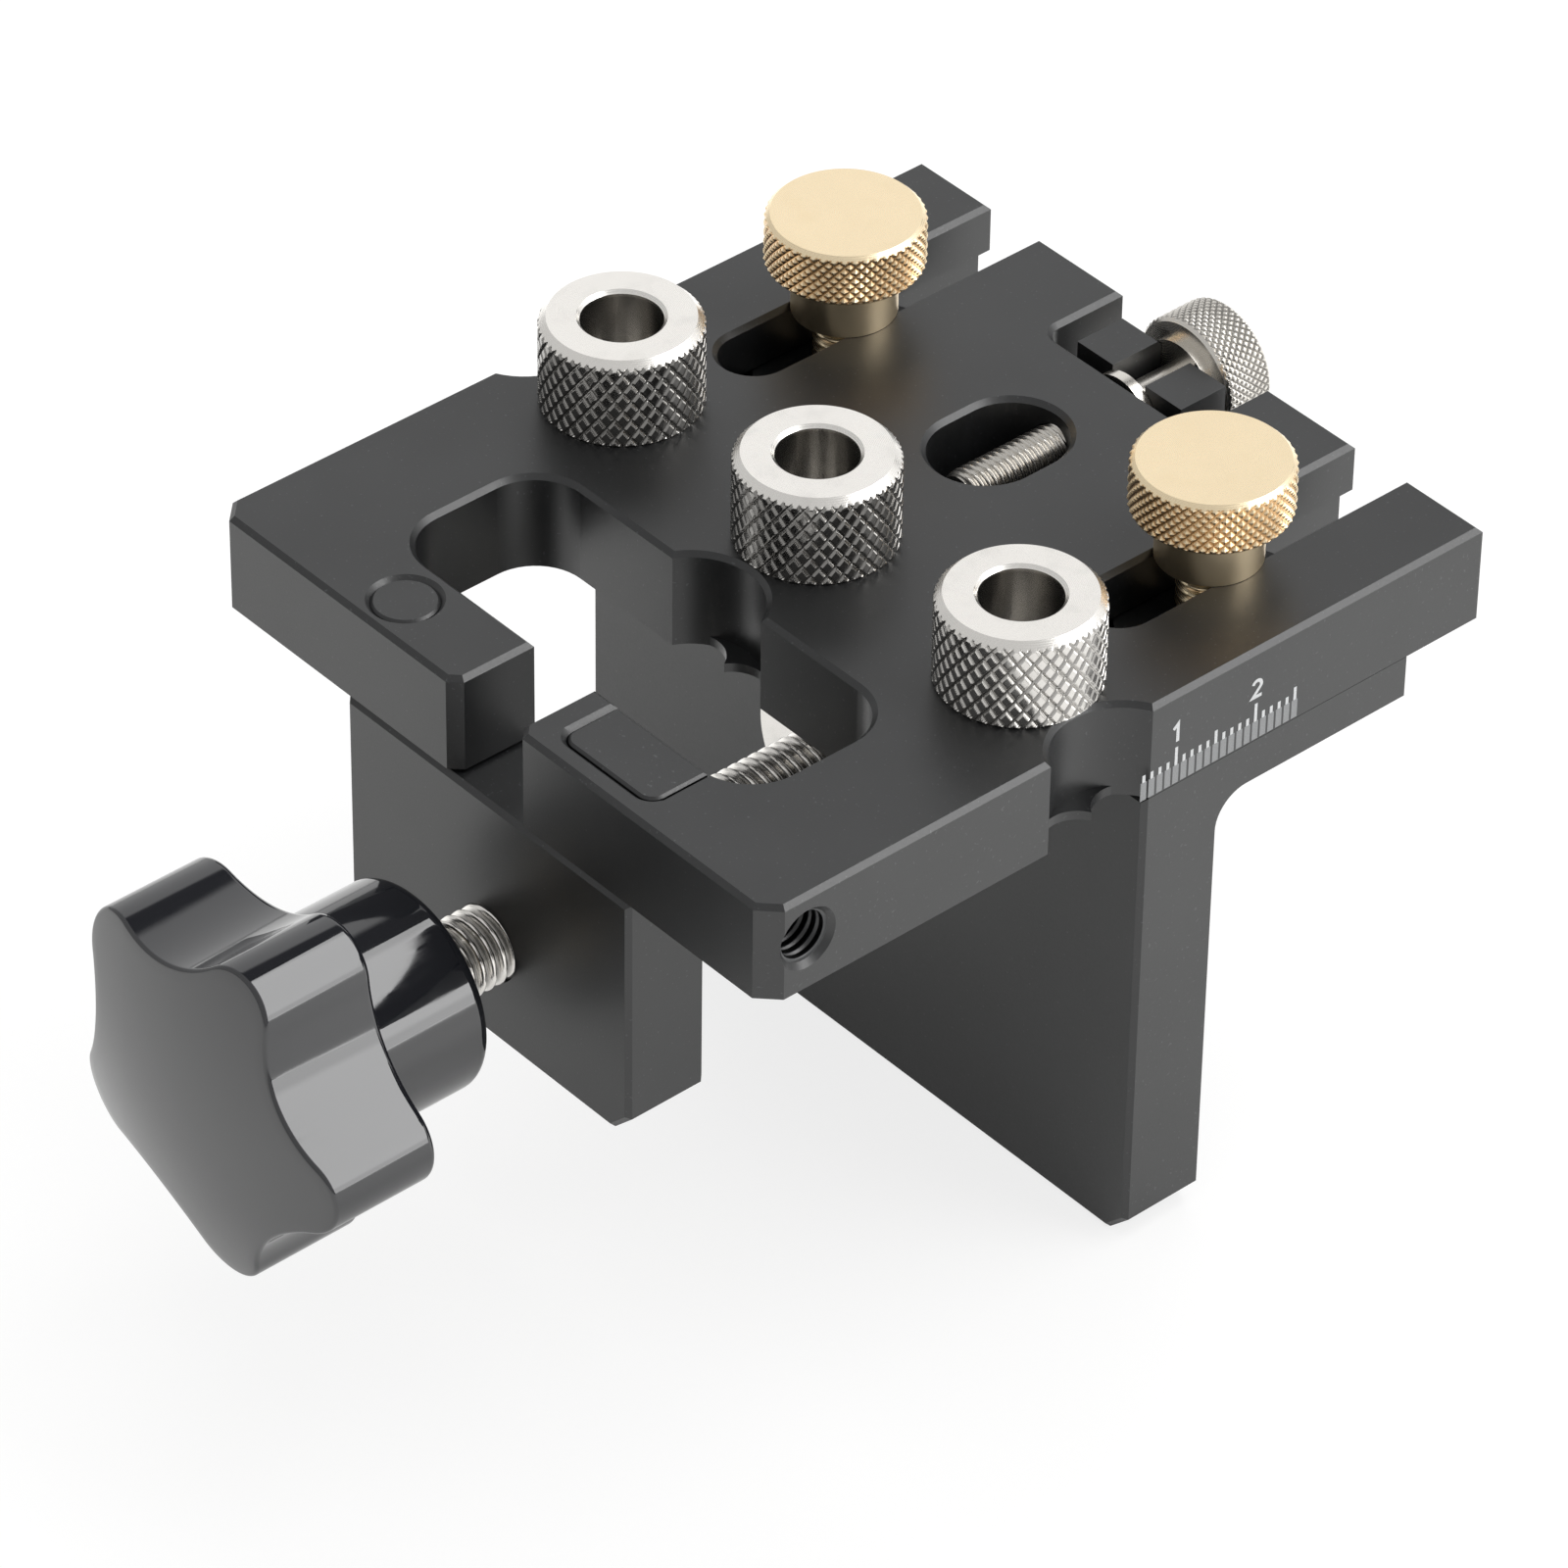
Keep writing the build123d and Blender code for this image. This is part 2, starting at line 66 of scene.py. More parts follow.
# ---- small tools ---------------------------------------------------------------------------------
def linear(hex_colour: str) -> tuple[float, ...]:
    """Turn an sRGB hex colour into linear RGBA.

    Args:
        hex_colour: colour written as "#rrggbb".

    Returns:
        Red, green, blue and alpha, each 0 to 1.
    """
    channels = np.array([int(hex_colour[place:place + 2], 16) for place in (1, 3, 5)]) / 255
    toe, curve = channels / 12.92, ((channels + 0.055) / 1.055) ** 2.4
    return (*np.where(channels <= 0.04045, toe, curve), 1.0)


def fresh_tree(block: bpy.types.Material | bpy.types.World) -> bpy.types.NodeTree:
    """Switch a material or a world to nodes, and empty it.

    Args:
        block: the material or world.

    Returns:
        Its empty node tree.
    """
    block.use_nodes = True
    block.node_tree.nodes.clear()
    return block.node_tree


def add_node(tree: bpy.types.NodeTree, kind: str, inputs: dict[str | int, object] | None = None,
             **settings: object) -> bpy.types.Node:
    """Add one shader node with its settings, constants and links.

    Args:
        tree: node tree that takes the node.
        kind: Blender's type name of the node, without "ShaderNode".
        inputs: socket name or index to a constant, to another node's output socket, or to another
            node, which stands for its first output in use.
        settings: attributes of the node itself.

    Returns:
        The new node.
    """
    node = tree.nodes.new(f"ShaderNode{kind}")
    for name, value in settings.items():
        setattr(node, name, value)
    in_use = [socket for socket in node.inputs if socket.enabled]
    for name, value in (inputs or {}).items():
        socket = in_use[name] if isinstance(name, int) else next(s for s in in_use if s.name == name)
        if isinstance(value, bpy.types.Node):
            value = next(output for output in value.outputs if output.enabled)
        if isinstance(value, Socket):
            tree.links.new(value, socket)
        else:
            socket.default_value = value
    return node


def wave_scale(spacing: float) -> float:
    """Scale at which Blender's wave texture has one band or ring every given length."""
    return 2 * math.pi / (20 * spacing)


def add_object(name: str, data: bpy.types.ID) -> bpy.types.Object:
    """Link a new object into the scene, at the origin.

    Args:
        name: the object's name.
        data: its mesh, lamp or camera.

    Returns:
        The new object.
    """
    made = bpy.data.objects.new(name, data)
    bpy.context.scene.collection.objects.link(made)
    return made


def bearing(azimuth: float, elevation: float) -> Vector:
    """Unit vector from the jig outwards.

    X is the sine and Y minus the cosine of the azimuth, each times the elevation's cosine. Z is the
    elevation's sine.

    Args:
        azimuth: degrees from the front (-Y) towards the right (+X).
        elevation: degrees above the level.

    Returns:
        The vector.
    """
    turn, lift = math.radians(azimuth), math.radians(elevation)
    return Vector((math.sin(turn) * math.cos(lift), -math.cos(turn) * math.cos(lift), math.sin(lift)))


def ring_triangles(rows: int, columns: int, closed: bool) -> Array:
    """Triangles between neighbouring rows of a grid whose columns run round an axis.

    Args:
        rows: number of rows.
        columns: vertices in each row.
        closed: True joins the last row to the first.

    Returns:
        Vertex numbers, three a triangle, row by row.
    """
    row = np.arange(rows if closed else rows - 1)[:, None] * columns
    column = np.arange(columns)[None, :]
    beside = (column + 1) % columns
    above = (row + columns) % (rows * columns)
    lower = np.stack([row + column, row + beside, above + beside], -1)
    upper = np.stack([row + column, above + beside, above + column], -1)
    return np.stack([lower, upper], 2).reshape(-1, 3)


def cap_triangles(first_of_ring: int, columns: int, pole: int) -> Array:
    """Fan of triangles between one ring and a pole in its middle.

    Args:
        first_of_ring: number of the ring's first vertex.
        columns: vertices in the ring.
        pole: number of the middle vertex.

    Returns:
        Vertex numbers, three a triangle.
    """
    column = np.arange(columns)
    beside = (column + 1) % columns
    return np.stack([first_of_ring + column, np.full(columns, pole), first_of_ring + beside], -1)


def outward(points: Array, triangles: Array) -> Array:
    """Turn a closed shell's triangles so that they face outwards.

    The signed volume is a sixth of the sum, over the triangles, of the first corner dotted with
    the cross product of the other two. Where it is negative, each triangle is reversed.

    Args:
        points: vertices, one a row.
        triangles: vertex numbers, three a triangle.

    Returns:
        The triangles, facing outwards.
    """
    corners = (points - points.mean(0))[triangles]
    volume = np.einsum("ij,ij->", corners[:, 0], np.cross(corners[:, 1], corners[:, 2])) / 6
    return triangles if volume > 0 else triangles[:, ::-1]


class Slot(Enum):
    """The record's material slots, named with each new piece."""

    ANODISED = "black_anodised"
    BUSH = "bush_steel"
    BRASS = "brass"
    BRIGHT = "bright_steel"
    KNOB = "knob_plastic"


class Side(Enum):
    """Place of a bush or a lock screw in its row."""

    LEFT = "left"
    MIDDLE = "middle"
    RIGHT = "right"


class Spindle(Enum):
    """Axis of a turned piece: its letter, two sideways directions, and its own direction."""

    UP = ("Z", (1.0, 0.0, 0.0), (0.0, 1.0, 0.0), (0.0, 0.0, 1.0))
    REAR = ("Y", (0.0, 0.0, 1.0), (1.0, 0.0, 0.0), (0.0, 1.0, 0.0))


# ---- finishes ------------------------------------------------------------------------------------
@dataclass(frozen=True)
class Finish:
    """A surface finish: what the material is, and how its surface was made."""

    name: str
    colour: str
    roughness: float
    metallic: float = 0.0
    ior: float = 1.5

    def material(self) -> bpy.types.Material:
        """Make the finish's node material, once for each name.

        Returns:
            The material.
        """
        made = bpy.data.materials.get(self.name)
        if made:
            return made
        made = bpy.data.materials.new(self.name)
        add = partial(add_node, fresh_tree(made))
        place = add("TexCoord").outputs["Object"]
        plain = {"Base Color": linear(self.colour), "Roughness": self.roughness,
                 "Metallic": self.metallic, "IOR": self.ior}
        shader = add("BsdfPrincipled", {**plain, **self.detail(add, place)})
        add("OutputMaterial", {"Surface": shader})
        return made

    def detail(self, add: AddNode, place: Socket) -> Sockets:
        """Say what varies over the surface; a plain finish has nothing.

        Args:
            add: adds a node to the material.
            place: Object coordinates.

        Returns:
            The shader's socket names, and the node that drives each.
        """
        return {}


@dataclass(frozen=True)
class AnodisedAluminium(Finish):
    """Aluminium, bead blasted and anodised black: satin, near black, with a very fine even grain."""

    grain: float = 0.20 * MM       # blast pits are about 0.05 mm; drawn coarser so that they show
    pit: float = 0.008 * MM        # depth of the grain
    cloud: float = 14 * MM         # slow drift of the dye
    pale: str = "#191a1b"          # the dye at its thinnest
    speck: str = "#7d7f82"         # single bright grains
    speck_share: float = 0.15      # how far a grain's colour goes to that
    gloss_drift: float = 0.05      # of the roughness, to both sides

    def detail(self, add: AddNode, place: Socket) -> Sockets:
        """Let the grain move colour, gloss and height together, and a few grains shine.

        Args:
            add: adds a node to the material.
            place: Object coordinates.

        Returns:
            The shader's socket names, and the node that drives each.
        """
        grain = add("TexNoise", {"Vector": place, "Scale": 1 / self.grain, "Detail": 2.0})
        cloud = add("TexNoise", {"Vector": place, "Scale": 1 / self.cloud, "Detail": 3.0})
        blend = add("Math", {0: grain, 1: cloud}, operation="MULTIPLY")
        dyed = add("MapRange", {"Value": blend, "From Min": 0.12, "From Max": 0.40})
        base = add("Mix", {"Factor": dyed, "A": linear(self.colour), "B": linear(self.pale)},
                   data_type="RGBA")
        single = add("TexNoise", {"Vector": place, "Scale": 0.7 / self.grain, "Detail": 0.0})
        rare = add("MapRange", {"Value": single, "From Min": 0.76, "From Max": 0.84,
                                "To Max": self.speck_share})
        speckled = add("Mix", {"Factor": rare, "A": base, "B": linear(self.speck)}, data_type="RGBA")
        gloss = add("MapRange", {"Value": grain, "From Min": 0.3, "From Max": 0.7,
                                 "To Min": self.roughness - self.gloss_drift,
                                 "To Max": self.roughness + self.gloss_drift})
        bump = add("Bump", {"Height": grain, "Distance": self.pit, "Strength": 0.5})
        return {"Base Color": speckled, "Roughness": gloss, "Normal": bump}


@dataclass(frozen=True)
class TappedAnodised(AnodisedAluminium):
    """The same anodised skin, with screw threads in the tapped side holes, as bumps and painted
    highlights.
    """

    hole_y: float = -35.25 * MM
    hole_z: float = -5.0 * MM
    hole_radius: float = 2.75 * MM
    hole_end: float = 27.2 * MM    # distance of the holes' inner ends from the plate's middle
    pitch: float = 1.0 * MM
    relief: float = 0.5 * MM       # height of the thread
    crest: str = "#2b2d2f"         # painted highlight: light that the thread's crests catch

    def detail(self, add: AddNode, place: Socket) -> Sockets:
        """Inside the holes' radius, let bands of one pitch along X paint highlights on the skin and
        set its height.

        Args:
            add: adds a node to the material.
            place: Object coordinates.

        Returns:
            The shader's socket names, and the node that drives each.
        """
        sockets = super().detail(add, place)
        across = add("Mapping", {"Vector": place, "Location": (0.0, -self.hole_y, -self.hole_z),
                                 "Scale": (0.0, 1.0, 1.0)})
        reach = add("VectorMath", {0: across}, operation="LENGTH")
        inside = add("Math", {0: reach, 1: self.hole_radius}, operation="LESS_THAN")
        aside = add("Math", {0: add("SeparateXYZ", {0: place}).outputs["X"]}, operation="ABSOLUTE")
        outer = add("Math", {0: aside, 1: self.hole_end}, operation="GREATER_THAN")
        hole = add("Math", {0: inside, 1: outer}, operation="MULTIPLY")
        wave = add("TexWave", {"Vector": place, "Scale": wave_scale(self.pitch)}, bands_direction="X")
        thread = add("Math", {0: wave.outputs["Fac"], 1: hole}, operation="MULTIPLY")
        # Painted highlight: the bands lighten the skin towards the crest colour where thread crests
        # would catch the light.
        base = add("Mix", {"Factor": thread, "A": sockets["Base Color"], "B": linear(self.crest)},
                   data_type="RGBA")
        bump = add("Bump", {"Height": thread, "Distance": self.relief, "Normal": sockets["Normal"]})
        return {**sockets, "Base Color": base, "Normal": bump}


@dataclass(frozen=True)
class TurnedMetal(Finish):
    """Metal faced on a lathe: bright, with fine rings round the axis."""

    centre: tuple[float, float, float] = (0.0, 0.0, 0.0)
    spindle: Spindle = Spindle.UP  # the axis that the rings run round
    feed: float = 0.16 * MM        # tool marks are 0.05 mm apart; drawn coarser so that they show
    mark: float = 0.006 * MM       # height of the tool marks
    smear: float = 2.2 * MM        # size of the faint stains
    worn: str = "#9a9893"          # colour of the stains
    groove: str = "#1b1a19"        # painted shade in grooves, bores and under heads, with oil and dust left in grooves
    gloss_drift: float = 0.06      # of the roughness, to both sides

    def detail(self, add: AddNode, place: Socket) -> Sockets:
        """Let rings of the given feed drive gloss and height, and the stored painted shade of grooves,
        necks and bores the colour.

        Args:
            add: adds a node to the material.
            place: Object coordinates.

        Returns:
            The shader's socket names, and the node that drives each.
        """
        centred = add("Mapping", {"Vector": place, "Location": tuple(-part for part in self.centre)})
        wave = add("TexWave", {"Vector": centred, "Scale": wave_scale(self.feed), "Distortion": 1.5,
                               "Detail": 2.0, "Detail Scale": 2.0},
                   wave_type="RINGS", rings_direction=self.spindle.value[0]).outputs["Fac"]
        smear = add("TexNoise", {"Vector": place, "Scale": 1 / self.smear, "Detail": 4.0})
        stain = add("MapRange", {"Value": smear, "From Min": 0.52, "From Max": 0.80, "To Max": 0.12})
        metal = add("Mix", {"Factor": stain, "A": linear(self.colour), "B": linear(self.worn)},
                    data_type="RGBA")
        # Painted shade: the stored groove attribute darkens the metal towards the groove colour in
        # knurl grooves, thread roots, bores and under heads; in the grooves it stands for oil and dust
        # as well.
        depth = add("Attribute", attribute_name="groove").outputs["Fac"]
        dirt_and_shade = add("MapRange", {"Value": depth, "From Min": 0.35, "From Max": 1.0, "To Max": 0.85})
        base = add("Mix", {"Factor": dirt_and_shade, "A": metal, "B": linear(self.groove)}, data_type="RGBA")
        mixed = add("Math", {0: wave, 1: smear}, operation="ADD")
        gloss = add("MapRange", {"Value": mixed, "From Min": 0.3, "From Max": 1.6,
                                 "To Min": self.roughness - self.gloss_drift,
                                 "To Max": self.roughness + self.gloss_drift})
        bump = add("Bump", {"Height": wave, "Distance": self.mark, "Strength": 0.4})
        return {"Base Color": base, "Roughness": gloss, "Normal": bump}


@dataclass(frozen=True)
class PolishedMoulding(Finish):
    """Phenolic moulding, polished in the mould: deep black, mirror gloss, faint hairlines."""

    haze: float = 5 * MM           # size of the soft patches
    hairline: float = 0.5 * MM     # handling marks are finer; drawn coarser so that they show
    stretch: float = 0.12          # a mark's width over its length, along Y
    ripple: float = 0.03 * MM      # height of the barely uneven skin

    def detail(self, add: AddNode, place: Socket) -> Sockets:
        """Give the gloss a soft haze and short handling marks, and the skin a faint ripple.

        Args:
            add: adds a node to the material.
            place: Object coordinates.

        Returns:
            The shader's socket names, and the node that drives each.
        """
        haze = add("TexNoise", {"Vector": place, "Scale": 1 / self.haze, "Detail": 4.0})
        streak = add("Mapping", {"Vector": place, "Scale": (1.0, self.stretch, 1.0)})
        marks = add("TexNoise", {"Vector": streak, "Scale": 1 / self.hairline, "Detail": 3.0})
        mixed = add("Math", {0: haze, 1: marks}, operation="MULTIPLY")
        gloss = add("MapRange", {"Value": mixed, "From Min": 0.15, "From Max": 0.42,
                                 "To Min": self.roughness - 0.03, "To Max": self.roughness + 0.07})
        bump = add("Bump", {"Height": haze, "Distance": self.ripple, "Strength": 0.25})
        return {"Roughness": gloss, "Normal": bump}


@dataclass(frozen=True)
class Mottled(Finish):
    """A skin with one fine pattern between two tones: laser marks and oxide films."""

    tone: str = "#a9aaab"          # the second tone
    spot: float = 0.15 * MM        # size of the pattern
    octaves: float = 1.0
    relief: float = 0.01 * MM
    strength: float = 0.5

    def detail(self, add: AddNode, place: Socket) -> Sockets:
        """Let the pattern move colour and height together.

        Args:
            add: adds a node to the material.
            place: Object coordinates.

        Returns:
            The shader's socket names, and the node that drives each.
        """
        spots = add("TexNoise", {"Vector": place, "Scale": 1 / self.spot, "Detail": self.octaves})
        base = add("Mix", {"Factor": spots, "A": linear(self.tone), "B": linear(self.colour)},
                   data_type="RGBA")
        bump = add("Bump", {"Height": spots, "Distance": self.relief, "Strength": self.strength})
        return {"Base Color": base, "Normal": bump}


OXIDE_IOR = 1.65                   # the anodised layer is aluminium oxide
PHENOLIC_IOR = 1.78                # the moulding's resin skin, waxed
BLACK_ANODISED = AnodisedAluminium("aluminium_black_anodised", "#0d0e0f", roughness=0.38,
                                   ior=OXIDE_IOR)
TAPPED_ANODISED = TappedAnodised("aluminium_black_anodised_tapped", "#0d0e0f", roughness=0.38,
                                 ior=OXIDE_IOR)
KNOB_GLOSS = PolishedMoulding("phenolic_polished_black", "#15161a", roughness=0.06, ior=PHENOLIC_IOR)
# Anodising burnt off by a laser is chalky pale grey, slightly uneven where the laser's spots meet.
PALE_MARK = Mottled("aluminium_laser_marked", "#d6d7d8", roughness=0.7)
GREY_MARK = Mottled("aluminium_laser_marked_faint", "#8f9091", roughness=0.7, tone="#747576")
# Steel with a black oxide film is dark, slightly brown and satin, and the film is patchy.
BLACK_OXIDE = Mottled("steel_black_oxide", "#57524d", roughness=0.38, metallic=1.0, tone="#2a2826",
                      spot=0.8 * MM, octaves=5.0, strength=0.4)


def turned_steel(name: str, centre: Vector, spindle: Spindle, roughness: float = 0.25,
                 colour: str = "#f4f1ec") -> TurnedMetal:
    """Bright turned steel, with rings about an axis through the centre."""
    return TurnedMetal(name, colour, roughness, metallic=1.0, centre=tuple(centre), spindle=spindle)


def turned_brass(name: str, centre: Vector, spindle: Spindle) -> TurnedMetal:
    """Pale turned brass, with rings about an axis through the centre."""
    # The groove colour is painted light and shade: a warm golden tint for the glow that the brass
    # knurl and neck throw back and forth, darker in the grooves.
    return TurnedMetal(name, "#ffebc6", roughness=0.30, metallic=1.0, centre=tuple(centre),
                       spindle=spindle, worn="#f4d49c", groove="#b97c24")


# ---- shapes turned on a lathe --------------------------------------------------------------------
def centre_line(node: str, spindle: Spindle) -> Vector:
    """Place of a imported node's own axis: the middle of its box, and zero along the axis."""
    return Vector([0.0 if along else (least + most) / 2
                   for least, most, along in zip(*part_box(node), spindle.value[-1])])


@dataclass(frozen=True)
class Knurl:
    """Diamond knurl: two crossing families of V grooves, wound left and right."""

    around: int                    # diamonds round the piece
    pitch: float                   # a diamond's height
    depth: float
    sharpness: float = 0.5         # groove half-width, as a share of the groove spacing
    steps: int = 10                # grid steps across one diamond
    land: float = 0.0              # how dark the lands are, partly the knurl's own tone and partly painted light and shade, on the scale of the groove depth

    @property
    def columns(self) -> int:
        """Vertices that a grid needs round the axis."""
        return self.around * self.steps

    def cut(self, turn: Array, along: Array) -> Array:
        """Groove depth from 0 on a land to 1 in a groove.

        Each family's phase is the turn times the count, plus or minus the height over the diamond's
        height. A groove's middle is at half a phase, and its depth falls linearly to both sides.

        Args:
            turn: angle as a share of a full turn.
            along: place along the axis.

        Returns:
            Depth at every point of the grid.
        """
        around, climb = turn * self.around, along / self.pitch
        nearest = [np.abs(np.mod(phase, 1.0) - 0.5) for phase in (around + climb, around - climb)]
        return np.maximum.reduce([np.clip(1 - near / self.sharpness, 0, 1) for near in nearest])

    def shade(self, cut: Array) -> Array:
        """How dark the skin is at a cut: painted shade fills the grooves, with oil and dust."""
        return np.maximum(cut, self.land)


@dataclass(frozen=True)
class Thread:
    """Right-handed screw thread with rounded crests and roots."""

    pitch: float
    depth: float
    steps: int = 10                # grid rows a turn
    dirt_and_shade: float = 0.75             # how dark the roots are, from painted shade and dirt

    def cut(self, turn: Array, along: Array) -> Array:
        """Depth from 0 on the crest to 1 at the root.

        The phase is the height over the pitch less the turn. The depth is half of one less the
        cosine of the phase.

        Args:
            turn: angle as a share of a full turn.
            along: place along the axis.

        Returns:
            Depth at every point of the grid.
        """
        return 0.5 - 0.5 * np.cos(2 * math.pi * (along / self.pitch - turn))

    def shade(self, cut: Array) -> Array:
        """How dark the skin is at a cut: painted shade and dirt, darkest in the roots."""
        return self.dirt_and_shade * cut


@dataclass
class TurnedPiece:
    """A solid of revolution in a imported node's place. Its profile may carry knurls or threads."""

    name: str
    node: str
    spindle: Spindle
    columns: int                   # vertices round the axis

    def __post_init__(self) -> None:
        """Find the node's ends, radius and axis, and start with an empty profile."""
        self.low, self.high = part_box(self.node)
        self.reach = (self.high.x - self.low.x) / 2
        self.centre = centre_line(self.node, self.spindle)
        self.turn = np.arange(self.columns) / self.columns
        self.along: list[Array] = []
        self.radius: list[Array] = []
        self.groove: list[Array] = []

    def plain(self, *corners: tuple[float, float], shade: float = 0.0) -> None:
        """Add smooth profile corners.

        Args:
            corners: radius and place along the axis of each corner.
            shade: how dark the painted shade makes the skin there, on the scale of the groove depth.
        """
        for radius, along in corners:
            self.along.append(np.full(self.columns, along))
            self.radius.append(np.full(self.columns, radius))
            self.groove.append(np.full(self.columns, shade))

    def patterned(self, pattern: Knurl | Thread, radius: float, start: float, end: float,
                  start_bevel: float = 0.0, end_bevel: float = 0.0) -> None:
        """Add a stretch that carries a knurl or a thread, with bevelled ends.

        The radius is the lesser of the outer radius less the pattern's depth, and the bevel cones.

        Args:
            pattern: the knurl or thread.
            radius: outer radius.
            start: first place along the axis.
            end: last place along the axis.
            start_bevel: size of the bevel at the start.
            end_bevel: size of the bevel at the end.
        """
        rows = max(2, round(abs(end - start) / pattern.pitch * pattern.steps))
        along = np.linspace(start, end, rows + 1)[:, None] + np.zeros((1, self.columns))
        cut = pattern.cut(self.turn[None, :], along)
        cones = np.minimum(radius - start_bevel + np.abs(along - start),
                           radius - end_bevel + np.abs(end - along))
        wanted = radius - pattern.depth * cut
        self.along.extend(along)
        self.radius.extend(np.minimum(wanted, cones))
        self.groove.extend(np.where(wanted <= cones, pattern.shade(cut), 0.0))

    def build(self, finish: Finish, ring: bool = False) -> bpy.types.Object:
        """Make the mesh: each profile point is carried round the axis.

        A point is the centre, plus its place along the axis, plus its radius times the cosine and
        the sine of the angle on the two sideways directions.

        Args:
            finish: finish of the whole piece.
            ring: True closes the profile on itself; otherwise both ends get a pole on the axis.

        Returns:
            The new object.
        """
        side, other, axis = (np.array(direction) for direction in self.spindle.value[1:])
        along, radius, groove = (np.array(rows) for rows in (self.along, self.radius, self.groove))
        angle = 2 * math.pi * self.turn
        spokes = np.cos(angle)[:, None] * side + np.sin(angle)[:, None] * other
        points = (radius[:, :, None] * spokes + along[:, :, None] * axis).reshape(-1, 3)
        triangles = ring_triangles(len(along), self.columns, ring)
        depth = groove.ravel()
        if not ring:
            poles = np.array([along[0, 0] * axis, along[-1, 0] * axis])
            front = cap_triangles(0, self.columns, len(points))
            rear = cap_triangles((len(along) - 1) * self.columns, self.columns, len(points) + 1)
            triangles = np.concatenate([triangles, front, rear[:, ::-1]])
            points = np.concatenate([points, poles])
            depth = np.concatenate([depth, [0.0, 0.0]])
        return make_piece(self.name, points + np.array(self.centre), triangles, finish, depth)


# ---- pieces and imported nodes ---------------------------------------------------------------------
def make_piece(name: str, points: Array, triangles: Array, finish: Finish,
               groove: Array | None = None, crease: float = 32.0) -> bpy.types.Object:
    """Put a closed shell into the scene.

    Args:
        name: the piece's name.
        points: vertices, one a row.
        triangles: vertex numbers, three a triangle.
        finish: the piece's finish.
        groove: painted shade at each vertex, 0 to 1: groove depth, and the darker lands, necks and
            bores.
        crease: edges that turn by more degrees than this are sharp.

    Returns:
        The new object, at the origin.
    """
    mesh = bpy.data.meshes.new(name)
    mesh.from_pydata(points, [], outward(points, triangles))
    mesh.polygons.foreach_set("use_smooth", np.ones(len(mesh.polygons), bool))
    mesh.set_sharp_from_angle(angle=math.radians(crease))
    if groove is not None:
        stored = mesh.attributes.new("groove", "FLOAT", "POINT")
        stored.data.foreach_set("value", groove.astype(np.float32))
    mesh.materials.append(finish.material())
    mesh.update()
    log.info("%s: %d triangles", name, len(triangles))
    return add_object(name, mesh)


def settle(piece: bpy.types.Object, body: str, slot: Slot, *nodes: str) -> None:
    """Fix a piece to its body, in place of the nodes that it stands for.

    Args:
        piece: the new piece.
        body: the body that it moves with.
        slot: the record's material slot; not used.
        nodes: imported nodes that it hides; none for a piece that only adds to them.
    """
    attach(piece, body)
    if nodes:
        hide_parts(*nodes)


def dress_node(node: str, finish: Finish) -> None:
    """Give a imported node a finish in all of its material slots.

    Args:
        node: the node's name.
        finish: its finish.
    """
    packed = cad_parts[node]
    if not packed.material_slots:
        packed.data.materials.append(finish.material())
    for place in packed.material_slots:
        place.material = finish.material()
    log.info("%s: %s", node, finish.name)


# ---- sub-assemblies ------------------------------------------------------------------------------
@dataclass
class BlackParts:
    """The anodised plate, jaw, fence and yoke, and their screws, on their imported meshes."""

    anodised: tuple[str, ...] = ("jaw_block", "jaw_round_pin", "fence_bracket", "guide_key_left",
                                 "guide_key_right")
    tapped: tuple[str, ...] = ("guide_plate",)
    oxided: tuple[str, ...] = ("yoke_screws",)
    merged: float = 0.001 * MM     # vertices nearer than this are one
    flat: float = 1.0              # degrees that joined faces may turn by
    square: float = 80.0           # degrees that a broken edge turns by at least
    shortest: float = 1.5 * MM     # length of a broken edge at least
    bevel: float = 0.35 * MM

    def build(self) -> None:
        """Give every packed black part its finish, and the yoke its broken edges."""
        for finish, nodes in ((BLACK_ANODISED, self.anodised), (TAPPED_ANODISED, self.tapped),
                              (BLACK_OXIDE, self.oxided)):
            for node in nodes:
                dress_node(node, finish)
        self.build_yoke()

    def build_yoke(self) -> None:
        """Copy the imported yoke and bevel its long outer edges.

        The copy's triangles are merged and its flat faces joined. Every long convex edge whose
        faces stand square gets a bevel.
        """
        shape = bmesh.new()
        shape.from_mesh(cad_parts["yoke"].data)
        bmesh.ops.remove_doubles(shape, verts=shape.verts, dist=self.merged)
        bmesh.ops.dissolve_limit(shape, angle_limit=math.radians(self.flat), verts=shape.verts,
                                 edges=shape.edges)
        broken = [edge for edge in shape.edges if edge.is_convex and edge.calc_length() > self.shortest
                  and edge.calc_face_angle(0.0) > math.radians(self.square)]
        bmesh.ops.bevel(shape, geom=broken, offset=self.bevel, segments=2, profile=0.5,
                        affect="EDGES", clamp_overlap=True)
        bmesh.ops.recalc_face_normals(shape, faces=shape.faces)
        mesh = bpy.data.meshes.new("yoke_broken_edges")
        shape.to_mesh(mesh)
        shape.free()
        mesh.materials.clear()
        mesh.materials.append(BLACK_ANODISED.material())
        log.info("%s: %d edges bevelled", mesh.name, len(broken))
        settle(add_object("yoke_broken_edges", mesh), "fence", Slot.ANODISED, "yoke")


